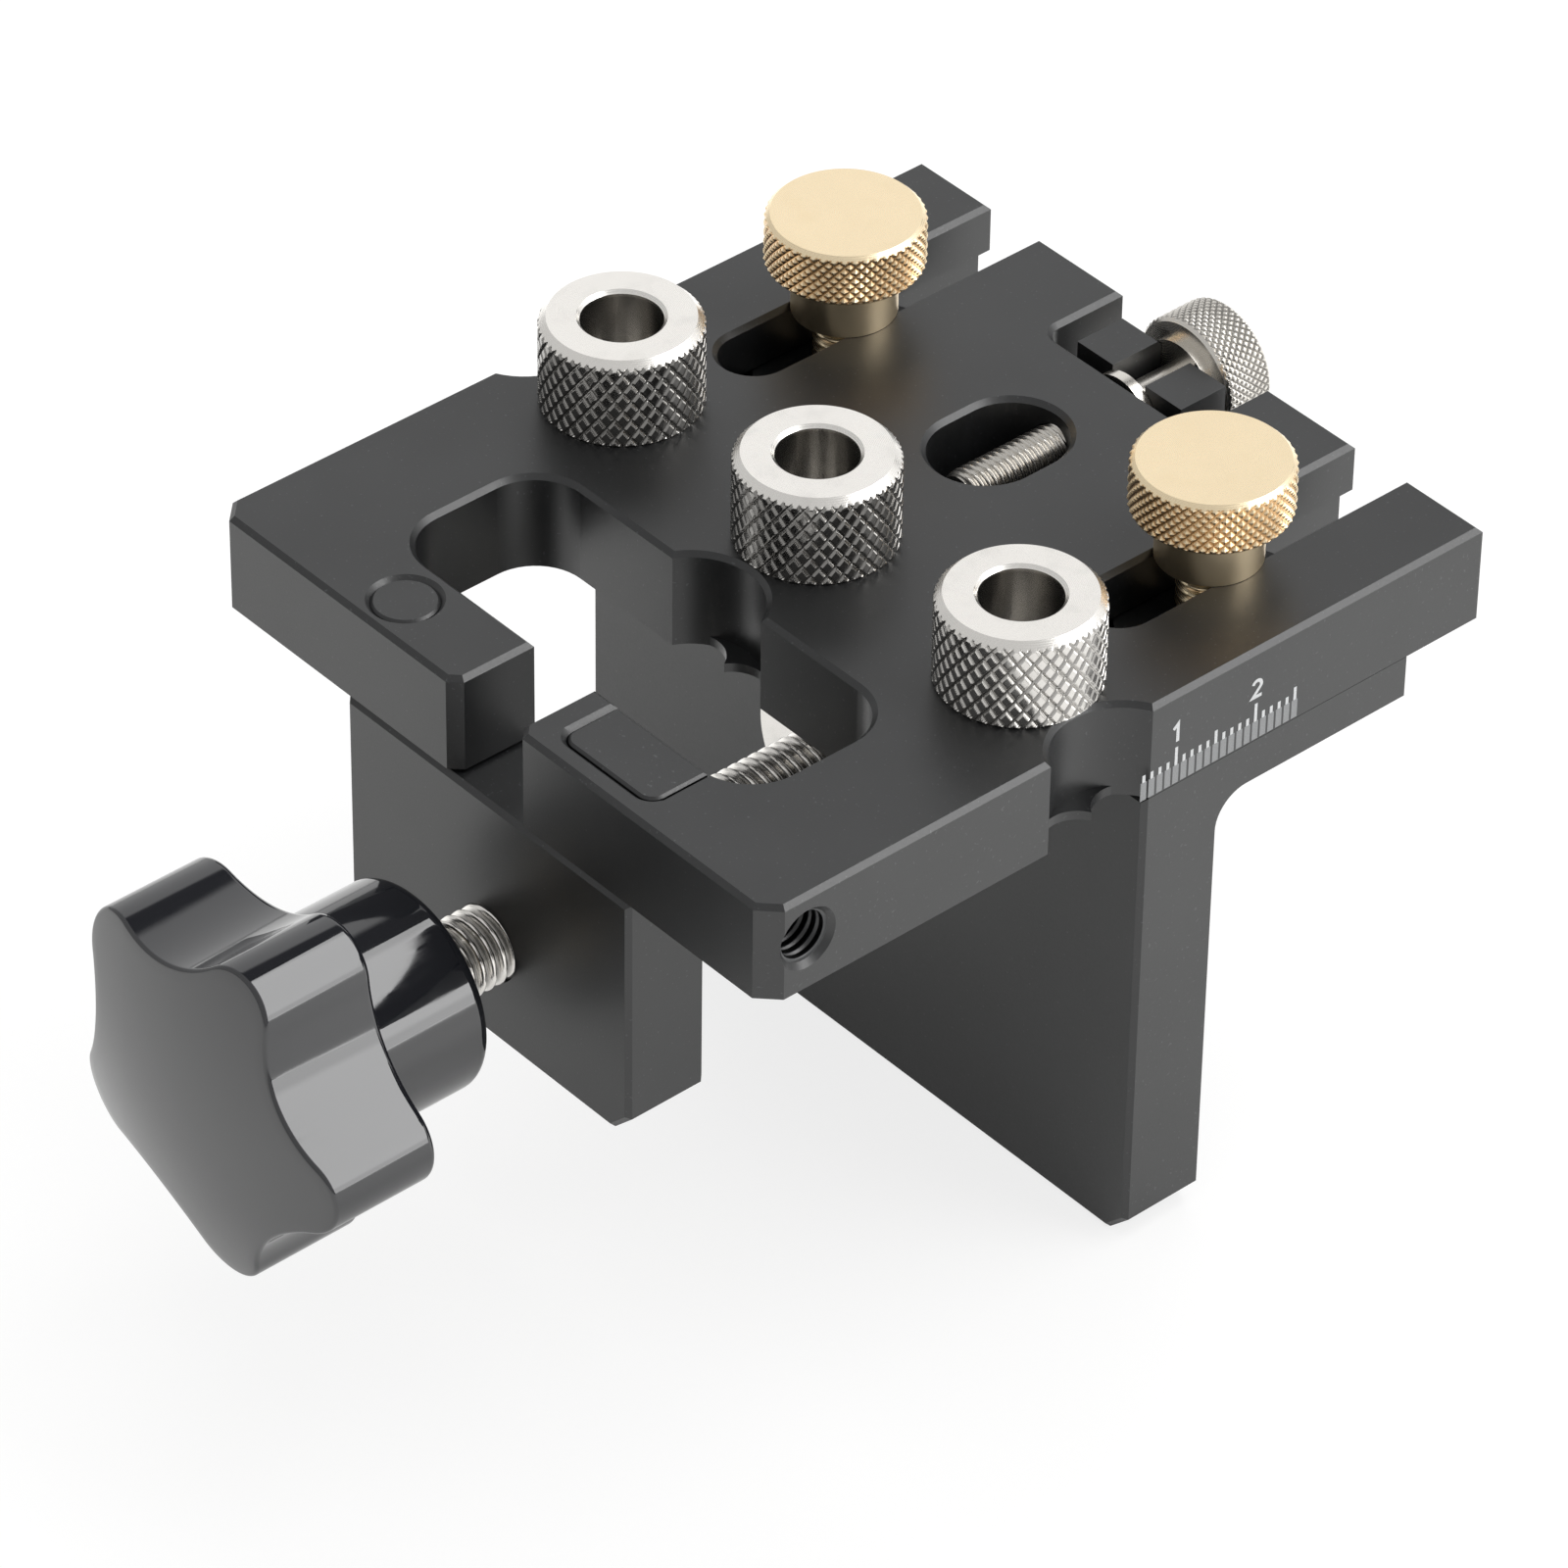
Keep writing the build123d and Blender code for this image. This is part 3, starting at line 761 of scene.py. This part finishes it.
@dataclass
class GuideBush:
    """A drill bush: knurled head, bright turned top, bored through."""

    side: Side
    land: float = 0.84             # how dark its knurl's lands are: the knurl's darker tone, with painted shade
    bore: float = 4.0 * MM
    bore_bevel: float = 0.35 * MM
    bore_shade: float = 0.62       # painted shade inside the bore, darker than the turned top
    shank: float = 6.0 * MM
    head_height: float = 9.6 * MM
    top_bevel: float = 0.8 * MM
    foot_bevel: float = 0.25 * MM
    foot_margin: float = 0.3 * MM  # clean ring of the underside beside that bevel
    knurl: Knurl = Knurl(around=32, pitch=2.1 * MM, depth=0.26 * MM, sharpness=0.19, steps=14)

    def build(self) -> None:
        """Turn the bush as one closed ring, from its lower mouth round the head and down the bore."""
        side, bevel = self.side.value, self.bore_bevel
        piece = TurnedPiece(f"bush_{side}_knurled", f"guide_bush_{side}", Spindle.UP,
                            self.knurl.columns)
        foot, top, head = piece.low.z, piece.high.z, piece.reach
        mouth, seat = self.bore + bevel, top - self.head_height
        piece.plain((self.bore, foot + 2 * bevel), shade=self.bore_shade)
        piece.plain((self.bore, foot + bevel), (mouth, foot), (self.shank - bevel, foot),
                    (self.shank, foot + bevel), (self.shank, seat),
                    (head - self.foot_bevel - self.foot_margin, seat))
        piece.patterned(replace(self.knurl, land=self.land), head, seat, top, self.foot_bevel,
                        self.top_bevel)
        piece.plain((mouth, top), (self.bore, top - bevel))
        piece.plain((self.bore, top - 2 * bevel), shade=self.bore_shade)
        steel = turned_steel(f"steel_turned_bush_{side}", piece.centre, Spindle.UP)
        settle(piece.build(steel, ring=True), f"bush_{side}", Slot.BUSH, piece.node)


@dataclass
class LockScrew:
    """A brass thumb screw: finely knurled head on a smooth neck, threaded below."""

    side: Side
    thread_radius: float = 3.0 * MM
    neck: float = 5.2 * MM
    neck_height: float = 5.3 * MM
    neck_shade: float = 0.38       # painted shade under the head, a little darker than the top
    seat: float = 0.05 * MM
    bevel: float = 0.6 * MM
    knurl: Knurl = Knurl(around=47, pitch=1.1 * MM, depth=0.26 * MM, steps=8, land=0.40)
    thread: Thread = Thread(pitch=1.0 * MM, depth=0.55 * MM)

    def build(self) -> None:
        """Turn the screw from its tip, up the thread and neck, to the middle of its top."""
        side, underside = self.side.value, self.seat + self.neck_height
        piece = TurnedPiece(f"lock_screw_{side}_knurled", f"lock_screw_{side}", Spindle.UP,
                            self.knurl.columns)
        piece.patterned(self.thread, self.thread_radius, piece.low.z, self.seat, self.bevel)
        piece.plain((self.neck, self.seat), (self.neck, underside), shade=self.neck_shade)
        piece.patterned(self.knurl, piece.reach, underside, piece.high.z, self.bevel, self.bevel)
        brass = turned_brass(f"brass_turned_{side}", piece.centre, Spindle.UP)
        settle(piece.build(brass), f"lock_{side}", Slot.BRASS, piece.node)


@dataclass
class FineAdjuster:
    """The adjusting screw with its flange and neck, and the knurled knob on its rear end."""

    thread_radius: float = 2.5 * MM
    flange_front: float = 38.4 * MM
    flange_thickness: float = 1.15 * MM
    neck: float = 2.15 * MM
    bevel: float = 0.4 * MM
    boss: float = 4.6 * MM
    boss_length: float = 0.95 * MM
    cap: float = 0.9 * MM          # thickness of the knob over the neck's end
    columns: int = 64              # of the screw
    thread: Thread = Thread(pitch=0.8 * MM, depth=0.42 * MM, dirt_and_shade=0.4)
    knurl: Knurl = Knurl(around=48, pitch=0.9 * MM, depth=0.18 * MM, sharpness=0.35, steps=8,
                         land=0.35)

    def build(self) -> None:
        """Turn the screw and the knob about the same level axis."""
        screw = TurnedPiece("adjusting_screw_threaded", "adjusting_screw", Spindle.REAR, self.columns)
        steel = turned_steel("steel_nickelled_adjuster", screw.centre, Spindle.REAR, 0.24, "#dedad3")
        flange, flange_rear = screw.reach, self.flange_front + self.flange_thickness
        screw.patterned(self.thread, self.thread_radius, screw.low.y, self.flange_front, self.bevel)
        screw.plain((flange, self.flange_front), (flange, flange_rear), (self.neck, flange_rear),
                    (self.neck, screw.high.y))
        settle(screw.build(steel), "adjuster", Slot.BRIGHT, screw.node)

        knob = TurnedPiece("adjusting_knob_knurled", "adjusting_knob", Spindle.REAR,
                           self.knurl.columns)
        knob.centre = screw.centre
        front, rear = knob.low.y, knob.high.y
        rim_front = front + self.boss_length
        knob.plain((self.neck, rear - self.cap), (self.neck, front), (self.boss, front),
                   (self.boss, rim_front))
        knob.patterned(self.knurl, knob.reach, rim_front, rear, self.bevel, self.bevel)
        settle(knob.build(steel), "adjuster", Slot.BRIGHT, knob.node)


@dataclass
class ClampScrew:
    """The long clamp screw: coarse polished thread, shoulder, and a grooved spigot for the pad."""

    thread_radius: float = 4.0 * MM
    spigot: float = 2.5 * MM
    spigot_length: float = 3.15 * MM
    bevel: float = 0.5 * MM
    columns: int = 72
    thread: Thread = Thread(pitch=1.25 * MM, depth=0.7 * MM, steps=12, dirt_and_shade=0.95)

    def build(self) -> None:
        """Turn the screw from inside the knob to the end of the spigot, and dress what it carries."""
        screw = TurnedPiece("clamp_screw_threaded", "clamp_screw", Spindle.REAR, self.columns)
        axis, end = screw.centre, screw.high.y
        ring_low, ring_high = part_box("pad_retaining_ring")
        shoulder, groove = end - self.spigot_length, self.spigot - self.bevel
        screw.patterned(self.thread, self.thread_radius, screw.low.y, shoulder, 0.0, self.bevel)
        screw.plain((self.spigot, shoulder), (self.spigot, ring_low.y), (groove, ring_low.y),
                    (groove, ring_high.y), (self.spigot, ring_high.y), (self.spigot, end))
        steel = turned_steel("steel_polished_clamp", axis, Spindle.REAR, 0.20)
        settle(screw.build(steel), "clamp", Slot.BRIGHT, screw.node)
        dress_node("pad_retaining_ring", turned_steel("steel_ring", axis, Spindle.REAR))
        dress_node("swivel_pad", turned_steel("steel_turned_pad", axis, Spindle.REAR, 0.24))
        dress_node("knob_insert", turned_brass("brass_insert", axis, Spindle.REAR))


@dataclass
class StarKnob:
    """Five-lobed clamp knob: smooth lobes and valleys, rounded rims and a round hub."""

    lobes: int = 5
    lobe_reach: float = 19.3 * MM
    valley_reach: float = 14.5 * MM
    lobe_arc: float = 4.7 * MM
    lobe_turn: float = -4.85       # degrees from +X towards +Z
    star_length: float = 14.6 * MM  # at the middle of the domed pull face
    crown: float = 2.9 * MM        # the dome's height over the lobes' reach
    face_round: float = 0.5 * MM
    shoulder_round: float = 0.8 * MM
    hub: float = 10.75 * MM
    hub_round: float = 1.3 * MM
    root_round: float = 0.5 * MM   # hollow where the hub leaves the star
    insert: float = 6.0 * MM
    insert_length: float = 18.0 * MM
    arc_steps: int = 26            # of each lobe and each valley
    face_rings: int = 14
    inmost: float = 0.04           # the first face ring's share of the outline
    rim_steps: int = 6
    back_steps: int = 4            # from the shoulder to the hub's root
    round_rings: int = 9           # of each quarter round at the rear

    def outline(self) -> tuple[Array, Array]:
        """Points and outward normals round the star.

        A lobe is an arc about a centre inside its tip, and a valley an arc about a centre outside
        it. The valley's radius is the one that makes both arcs meet with one tangent, on the line
        through their centres.

        Returns:
            Two arrays of X and Z: points and unit normals.
        """
        half_step = math.pi / self.lobes
        lobe_centre = self.lobe_reach - self.lobe_arc
        along = lobe_centre * math.cos(half_step)
        valley_arc = (self.lobe_arc**2 - lobe_centre**2 - self.valley_reach**2
                      + 2 * along * self.valley_reach)
        valley_arc /= 2 * (self.valley_reach - along - self.lobe_arc)
        valley_centre = self.valley_reach + valley_arc
        lean = math.atan2(valley_centre * math.sin(half_step),
                          valley_centre * math.cos(half_step) - lobe_centre)
        lobe = np.linspace(-lean, lean, self.arc_steps, endpoint=False)
        spread = lean - half_step
        valley = np.linspace(-spread, spread, self.arc_steps, endpoint=False)
        points, normals = [], []
        for number in range(self.lobes):
            turn = math.radians(self.lobe_turn) + 2 * half_step * number
            tip = np.array([math.cos(turn), math.sin(turn)])
            face = np.stack([np.cos(turn + lobe), np.sin(turn + lobe)], -1)
            turn += half_step
            dip = np.array([math.cos(turn), math.sin(turn)])
            hollow = np.stack([np.cos(turn - valley), np.sin(turn - valley)], -1)
            points.append(lobe_centre * tip + self.lobe_arc * face)
            points.append(valley_centre * dip - valley_arc * hollow)
            normals += [face, hollow]
        return np.concatenate(points), np.concatenate(normals)

    def face_rows(self, front: float, points: Array, normals: Array) -> list[Row]:
        """Rows over the pull face and round its rim.

        The face is a sphere's cap: a point lies behind the front by the sphere's radius less the
        root of the radius squared less the reach squared. The rim follows a circle's arc, which
        starts with the cap's own tilt.

        Args:
            front: Y of the face's middle.
            points: the outline.
            normals: its outward normals.

        Returns:
            The rows, from the middle outwards.
        """
        sphere = (self.lobe_reach**2 + self.crown**2) / (2 * self.crown)
        tilt = np.arcsin(np.linalg.norm(points, axis=1) / sphere)
        edge = points - (self.face_round * (1 - np.sin(tilt)))[:, None] * normals
        reach = np.linalg.norm(edge, axis=1)
        rows = [(edge * share, front + sphere - np.sqrt(sphere**2 - (reach * share)**2))
                for share in np.linspace(self.inmost, 1.0, self.face_rings)]
        depth = rows[-1][1]
        for share in np.linspace(0, 1, self.rim_steps + 1)[1:]:
            angle = tilt + (math.pi / 2 - tilt) * share
            inset = self.face_round * (1 - np.sin(angle))
            rows.append((points - inset[:, None] * normals,
                         depth + self.face_round * (np.cos(tilt) - np.cos(angle))))
        return rows

    def rear_rows(self, front: float, rear: float, points: Array, normals: Array) -> list[Row]:
        """Rows from the star's shoulder along its back to the round hub, and down the blind bore.

        The shoulder, the hub's root and its end are quarter rounds: one radius less the cosine
        inwards or outwards, and one less the sine along Y. Between shoulder and root, each row is
        a mean of the outline and a circle.

        Args:
            front: Y of the pull face's middle.
            rear: Y of the hub's end.
            points: the outline.
            normals: its outward normals.

        Returns:
            The rows, from front to rear and into the bore.
        """
        star_rear = front + self.star_length
        quarter = np.linspace(0, math.pi / 2, self.round_rings)
        spoke = points / np.linalg.norm(points, axis=1, keepdims=True)
        shoulder, foot = points - self.shoulder_round * normals, (self.hub + self.root_round) * spoke
        rows = [(points - self.shoulder_round * (1 - math.cos(angle)) * normals,
                 star_rear - self.shoulder_round * (1 - math.sin(angle))) for angle in quarter]
        rows += [(shoulder * (1 - share) + foot * share, star_rear)
                 for share in np.linspace(0, 1, self.back_steps + 1)[1:]]
        rows += [((self.hub + self.root_round * (1 - math.sin(angle))) * spoke,
                  star_rear + self.root_round * (1 - math.cos(angle))) for angle in quarter[2:]]
        rows += [((self.hub - self.hub_round * (1 - math.cos(angle))) * spoke,
                  rear - self.hub_round * (1 - math.sin(angle))) for angle in quarter]
        return rows + [(self.insert * spoke, rear), (self.insert * spoke, rear - self.insert_length)]

    def build(self) -> None:
        """Join the face's and the rear's rows into one shell, closed by a pole at each end."""
        low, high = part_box("star_knob")
        axis = centre_line("clamp_screw", Spindle.REAR)
        points, normals = self.outline()
        rows = self.face_rows(low.y, points, normals) + self.rear_rows(low.y, high.y, points, normals)
        count, columns = len(rows), len(points)
        grid = np.array([np.stack([axis.x + x, depth + np.zeros(columns), axis.z + z], -1)
                         for (x, z), depth in ((flat.T, depth) for flat, depth in rows)])
        poles = [(axis.x, low.y, axis.z), (axis.x, high.y - self.insert_length, axis.z)]
        triangles = np.concatenate([
            ring_triangles(count, columns, closed=False),
            cap_triangles(0, columns, count * columns),
            cap_triangles((count - 1) * columns, columns, count * columns + 1)[:, ::-1]])
        made = make_piece("star_knob_moulded", np.concatenate([grid.reshape(-1, 3), poles]), triangles,
                          KNOB_GLOSS)
        settle(made, "clamp", Slot.KNOB, "star_knob")


def pen_arc(start: float, end: float, radius: float, middle: tuple[float, float]) -> Array:
    """Twelve points along an arc of a numeral's line.

    Args:
        start: angle of the first point, in degrees.
        end: angle of the last point, in degrees.
        radius: the arc's radius.
        middle: the arc's centre.

    Returns:
        The points, one a row.
    """
    angle = np.radians(np.linspace(start, end, 12))
    return np.array(middle) + radius * np.stack([np.cos(angle), np.sin(angle)], -1)


NUMERAL_LINES: dict[str, Array] = {  # the pen's line, as shares of the numeral's height
    "1": np.array([(-0.22, 0.72), (0.03, 0.94), (0.03, 0.0)]),
    "2": np.array([*pen_arc(165.0, -25.0, 0.24, (0.0, 0.68)), (-0.24, 0.08), (0.28, 0.08)]),
}


@dataclass
class PlateScale:
    """Millimetre scale on the plate's right side: graduations up from its lower edge, and numerals."""

    first: int = 6
    last: int = 25
    zero: float = -0.5 * MM        # Y of the zero mark
    faint: float = 2.1 * MM        # height of the broad faint foot of every mark
    short: float = 2.9 * MM
    middle: float = 3.6 * MM
    tall: float = 4.2 * MM
    width: float = 0.36 * MM
    faint_width: float = 0.74 * MM
    margin: float = 0.15 * MM      # above the plate's lower edge
    numeral: float = 2.2 * MM      # height
    pen: float = 0.17              # a numeral's stroke width, as a share of its height
    numeral_gap: float = 0.65 * MM
    proud: float = 0.01 * MM
    sunk: float = 0.05 * MM

    def build(self) -> None:
        """Make the graduations' faint feet and sharp tips as one piece each, and each numeral."""
        low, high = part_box("guide_plate")
        foot = low.z + self.margin
        marks = np.arange(self.first, self.last + 1)
        middles = self.zero + marks * MM
        feet = np.full(len(marks), foot)
        waists = np.full(len(marks), foot + self.faint)
        heights = np.select([marks % 10 == 0, marks % 5 == 0], [self.tall, self.middle], self.short)
        for name, width, lows, highs, finish in (
                ("scale_graduation_feet", self.faint_width, feet, waists, GREY_MARK),
                ("scale_graduation_tips", self.width, waists, foot + heights, PALE_MARK)):
            self.build_strokes(name, high.x, middles, width, lows, highs, finish)
        for tens in range(self.first // 10 + 1, self.last // 10 + 1):
            self.build_numeral(str(tens), high.x, self.zero + 10 * tens * MM,
                               foot + self.tall + self.numeral_gap)

    def build_strokes(self, name: str, face: float, middles: Array, width: float, feet: Array,
                      tops: Array, finish: Finish) -> None:
        """Set a row of upright strokes on the side face, as thin boxes.

        Args:
            name: the piece's name.
            face: X of the side face.
            middles: Y of each stroke.
            width: the strokes' width.
            feet: Z of each stroke's lower end.
            tops: Z of each stroke's upper end.
            finish: the strokes' finish.
        """
        corners = np.array([(x, y, z) for x in (0, 1) for y in (0, 1) for z in (0, 1)])
        lows = np.stack([np.full(len(feet), face - self.sunk), middles - width / 2, feet], -1)
        highs = np.stack([np.full(len(feet), face + self.proud), middles + width / 2, tops], -1)
        points = lows[:, None, :] + corners[None, :, :] * (highs - lows)[:, None, :]
        box = np.array([(0, 1, 3), (0, 3, 2), (4, 6, 7), (4, 7, 5), (0, 4, 5), (0, 5, 1),
                        (2, 3, 7), (2, 7, 6), (0, 2, 6), (0, 6, 4), (1, 5, 7), (1, 7, 3)])
        triangles = (box[None] + len(corners) * np.arange(len(feet))[:, None, None]).reshape(-1, 3)
        settle(make_piece(name, points.reshape(-1, 3), triangles, finish), "guide", Slot.ANODISED)

    def build_numeral(self, text: str, face: float, y: float, z: float) -> None:
        """Set one numeral on the side face, centred on its graduation.

        The pen follows the numeral's line. At every point it reaches half its width to both sides,
        along the mean of the neighbouring stretches' normals, lengthened so that the width stays even.

        Args:
            text: the numeral.
            face: X of the side face.
            y: middle of the numeral.
            z: foot of the numeral.
        """
        line = NUMERAL_LINES[text]
        ahead = np.diff(line, axis=0)
        ahead /= np.linalg.norm(ahead, axis=1, keepdims=True)
        normals = np.stack([-ahead[:, 1], ahead[:, 0]], -1)
        before, after = np.vstack([normals[:1], normals]), np.vstack([normals, normals[-1:]])
        reach = self.pen * (before + after) / (2 * (1 + np.sum(before * after, axis=1, keepdims=True)))
        left, right = ((line + side * reach) * self.numeral + (y, z) for side in (1, -1))
        outer, inner = (np.full((len(line), 1), face + depth) for depth in (self.proud, -self.sunk))
        points = np.stack([np.hstack([outer, left]), np.hstack([outer, right]),
                           np.hstack([inner, right]), np.hstack([inner, left])], 1).reshape(-1, 3)
        walls = ring_triangles(len(line), 4, closed=False)
        end = np.array([(0, 1, 2), (0, 2, 3)])
        triangles = np.concatenate([walls, end[:, ::-1], end + 4 * (len(line) - 1)])
        made = make_piece(f"scale_numeral_{text}", points, triangles, PALE_MARK)
        settle(made, "guide", Slot.ANODISED)


# ---- studio --------------------------------------------------------------------------------------
@dataclass(frozen=True)
class Lamp:
    """A rectangular soft box, aimed at the jig."""

    name: str
    azimuth: float                 # degrees from the front (-Y) towards the right (+X)
    elevation: float
    distance: float
    width: float
    height: float
    power: float
    roll: float = 0.0              # degrees about the line to the jig
    mirrored: bool = False         # True lets shiny parts mirror it

    def build(self, aim: Vector) -> None:
        """Hang the lamp and turn it to the jig.

        Args:
            aim: the point that it faces.
        """
        light = bpy.data.lights.new(self.name, "AREA")
        light.shape = "RECTANGLE"
        light.size, light.size_y = self.width, self.height
        light.energy = self.power
        lamp = add_object(self.name, light)
        lamp.visible_glossy = self.mirrored
        away = bearing(self.azimuth, self.elevation)
        spin = Quaternion((0.0, 0.0, 1.0), math.radians(self.roll))
        lamp.location = aim + away * self.distance
        lamp.rotation_euler = (away.to_track_quat("Z", "Y") @ spin).to_euler()


@dataclass
class Studio:
    """Pale floor, white surroundings, soft boxes and the camera."""

    azimuth: float = 48.48         # the photograph's view
    elevation: float = 38.70
    roll: float = 0.83
    distance: float = 789.64 * MM
    aim: Vector = Vector((26.06 * MM, -26.62 * MM, 0.0))
    lens: float = 202.19           # millimetres, with the sensor
    sensor: float = 36.0
    clip: tuple[float, float] = (0.01, 20.0)
    floor_reach: float = 3.0
    floor_gap: float = 0.05 * MM
    floor_fibre: float = 0.6 * MM
    floor_lift: float = 0.80       # share of plain white in the floor as the camera sees it
    mirrored_lift: float = 0.25    # and as shiny parts mirror it
    surround: float = 0.4          # level of the light from all around
    mirrored_front: float = 0.6    # level that shiny parts mirror from the camera's side
    rear_start: float = 0.2        # a direction's Y from which on it is the rear's
    mirrored: tuple[tuple[float, float], ...] = (  # degrees from +X over +Z, and the rear's level
        (-180, 1.0), (-12, 1.0), (-8, 0.1), (7, 0.1), (11, 1.0), (87, 1.0), (92, 0.1), (118, 0.1),
        (124, 1.0))
    lamp_aim: Vector = Vector((0.0, 0.0, -20 * MM))
    lamps: tuple[Lamp, ...] = (
        Lamp("soft_box_rear_left", azimuth=228.0, elevation=46.0, distance=0.9, width=0.75,
             height=0.75, power=6.0),
        Lamp("strip_box_right", azimuth=130.5, elevation=37.2, distance=1.0, width=0.56,
             height=1.9, power=12.5, roll=-27.4, mirrored=True),
        Lamp("soft_box_top", azimuth=60.0, elevation=80.0, distance=1.0, width=0.6, height=0.6,
             power=2.5),
    )

    def build(self) -> None:
        """Set up the world, floor, lamps, camera and view transform."""
        self.build_world()
        self.build_floor()
        for lamp in self.lamps:
            lamp.build(self.lamp_aim)
        self.build_camera()
        bpy.context.scene.view_settings.view_transform = "Standard"

    def build_world(self) -> None:
        """White surroundings for the camera, a plain level of light, and gaps that shiny parts mirror.

        The mirrored level follows the angle of the direction's Z over its X, so the gaps are strips
        along Y.
        """
        world = bpy.data.worlds.new("white_room")
        add = partial(add_node, fresh_tree(world))
        path = add("LightPath")
        clear = add("Math", {0: path.outputs["Is Camera Ray"], 1: path.outputs["Is Transmission Ray"]},
                    operation="MAXIMUM")
        level = add("MapRange", {"Value": clear, "To Min": self.surround})
        way = add("SeparateXYZ", {0: add("TexCoord").outputs["Generated"]}).outputs
        turn = add("Math", {0: way["Z"], 1: way["X"]}, operation="ARCTAN2")
        place = add("MapRange", {"Value": turn, "From Min": -math.pi, "From Max": math.pi})
        ramp = add("ValToRGB", {"Fac": place})
        stops = ramp.color_ramp.elements
        while len(stops) < len(self.mirrored):
            stops.new(0.5)
        for stop, (degrees, shown) in zip(stops, self.mirrored):
            stop.position = (degrees + 180) / 360
            stop.color = (shown, shown, shown, 1.0)
        rearward = add("MapRange", {"Value": way["Y"], "From Min": 0.0, "From Max": self.rear_start})
        around = add("Mix", {"Factor": rearward, "A": self.mirrored_front, "B": ramp})
        strength = add("Mix", {"Factor": path.outputs["Is Glossy Ray"], "A": level, "B": around})
        sky = add("Background", {"Color": linear("#ffffff"), "Strength": strength})
        add("OutputWorld", {"Surface": sky})
        bpy.context.scene.world = world

    def build_floor(self) -> None:
        """Lay the floor just under the fence: white to the camera, with the jig's soft shadow."""
        level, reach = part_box("fence_bracket")[0].z - self.floor_gap, self.floor_reach
        corners = [(x * reach, y * reach, level) for x, y in ((-1, -1), (1, -1), (1, 1), (-1, 1))]
        mesh = bpy.data.meshes.new("floor")
        mesh.from_pydata(corners, [], [(0, 1, 2, 3)])
        material = bpy.data.materials.new("paper_white_matt")
        add = partial(add_node, fresh_tree(material))
        place = add("TexCoord").outputs["Object"]
        fibre = add("TexNoise", {"Vector": place, "Scale": 1 / self.floor_fibre, "Detail": 3.0})
        tone = add("Mix", {"Factor": fibre, "A": linear("#f2f2f1"), "B": linear("#f7f7f6")},
                   data_type="RGBA")
        matt = add("BsdfDiffuse", {"Color": tone})
        glow = add("Emission", {"Color": linear("#ffffff"), "Strength": 1.0})
        path = add("LightPath")
        clear = add("Math", {0: path.outputs["Is Camera Ray"], 1: path.outputs["Is Transmission Ray"]},
                    operation="MAXIMUM")
        seen = add("Math", {0: clear, 1: self.floor_lift}, operation="MULTIPLY")
        lift = add("Math", {0: path.outputs["Is Glossy Ray"], 1: self.mirrored_lift, 2: seen},
                   operation="MULTIPLY_ADD")
        mixed = add("MixShader", {0: lift, 1: matt, 2: glow})
        add("OutputMaterial", {"Surface": mixed})
        mesh.materials.append(material)
        add_object("floor", mesh)

    def build_camera(self) -> None:
        """Place the camera at the photograph's angle, with its small roll."""
        turn, roll = math.radians(self.azimuth), math.radians(self.roll)
        back = bearing(self.azimuth, self.elevation)
        right = Vector((math.cos(turn), math.sin(turn), 0.0))
        up = back.cross(right)
        rolled_right = math.cos(roll) * right + math.sin(roll) * up
        rolled_up = -math.sin(roll) * right + math.cos(roll) * up
        camera = add_object("camera", bpy.data.cameras.new("camera"))
        camera.data.lens = self.lens
        camera.data.sensor_width = self.sensor
        camera.data.clip_start, camera.data.clip_end = self.clip
        camera.matrix_world = Matrix.Translation(self.aim + back * self.distance) @ Matrix(
            (rolled_right, rolled_up, back)).transposed().to_4x4()
        bpy.context.scene.camera = camera


def main() -> None:
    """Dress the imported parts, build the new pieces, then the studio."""
    logging.basicConfig(level=logging.INFO, format="%(message)s")
    for group in (
            BlackParts(),
            GuideBush(Side.LEFT),
            GuideBush(Side.MIDDLE),
            GuideBush(Side.RIGHT, land=0.56),  # painted light: lighter lands, as this bush faces the strip lamp
            LockScrew(Side.LEFT),
            LockScrew(Side.RIGHT),
            FineAdjuster(),
            ClampScrew(),
            StarKnob(),
            PlateScale(),
            Studio()):
        log.info("%s", type(group).__name__)
        group.build()


if __name__ == "__main__":
    main()
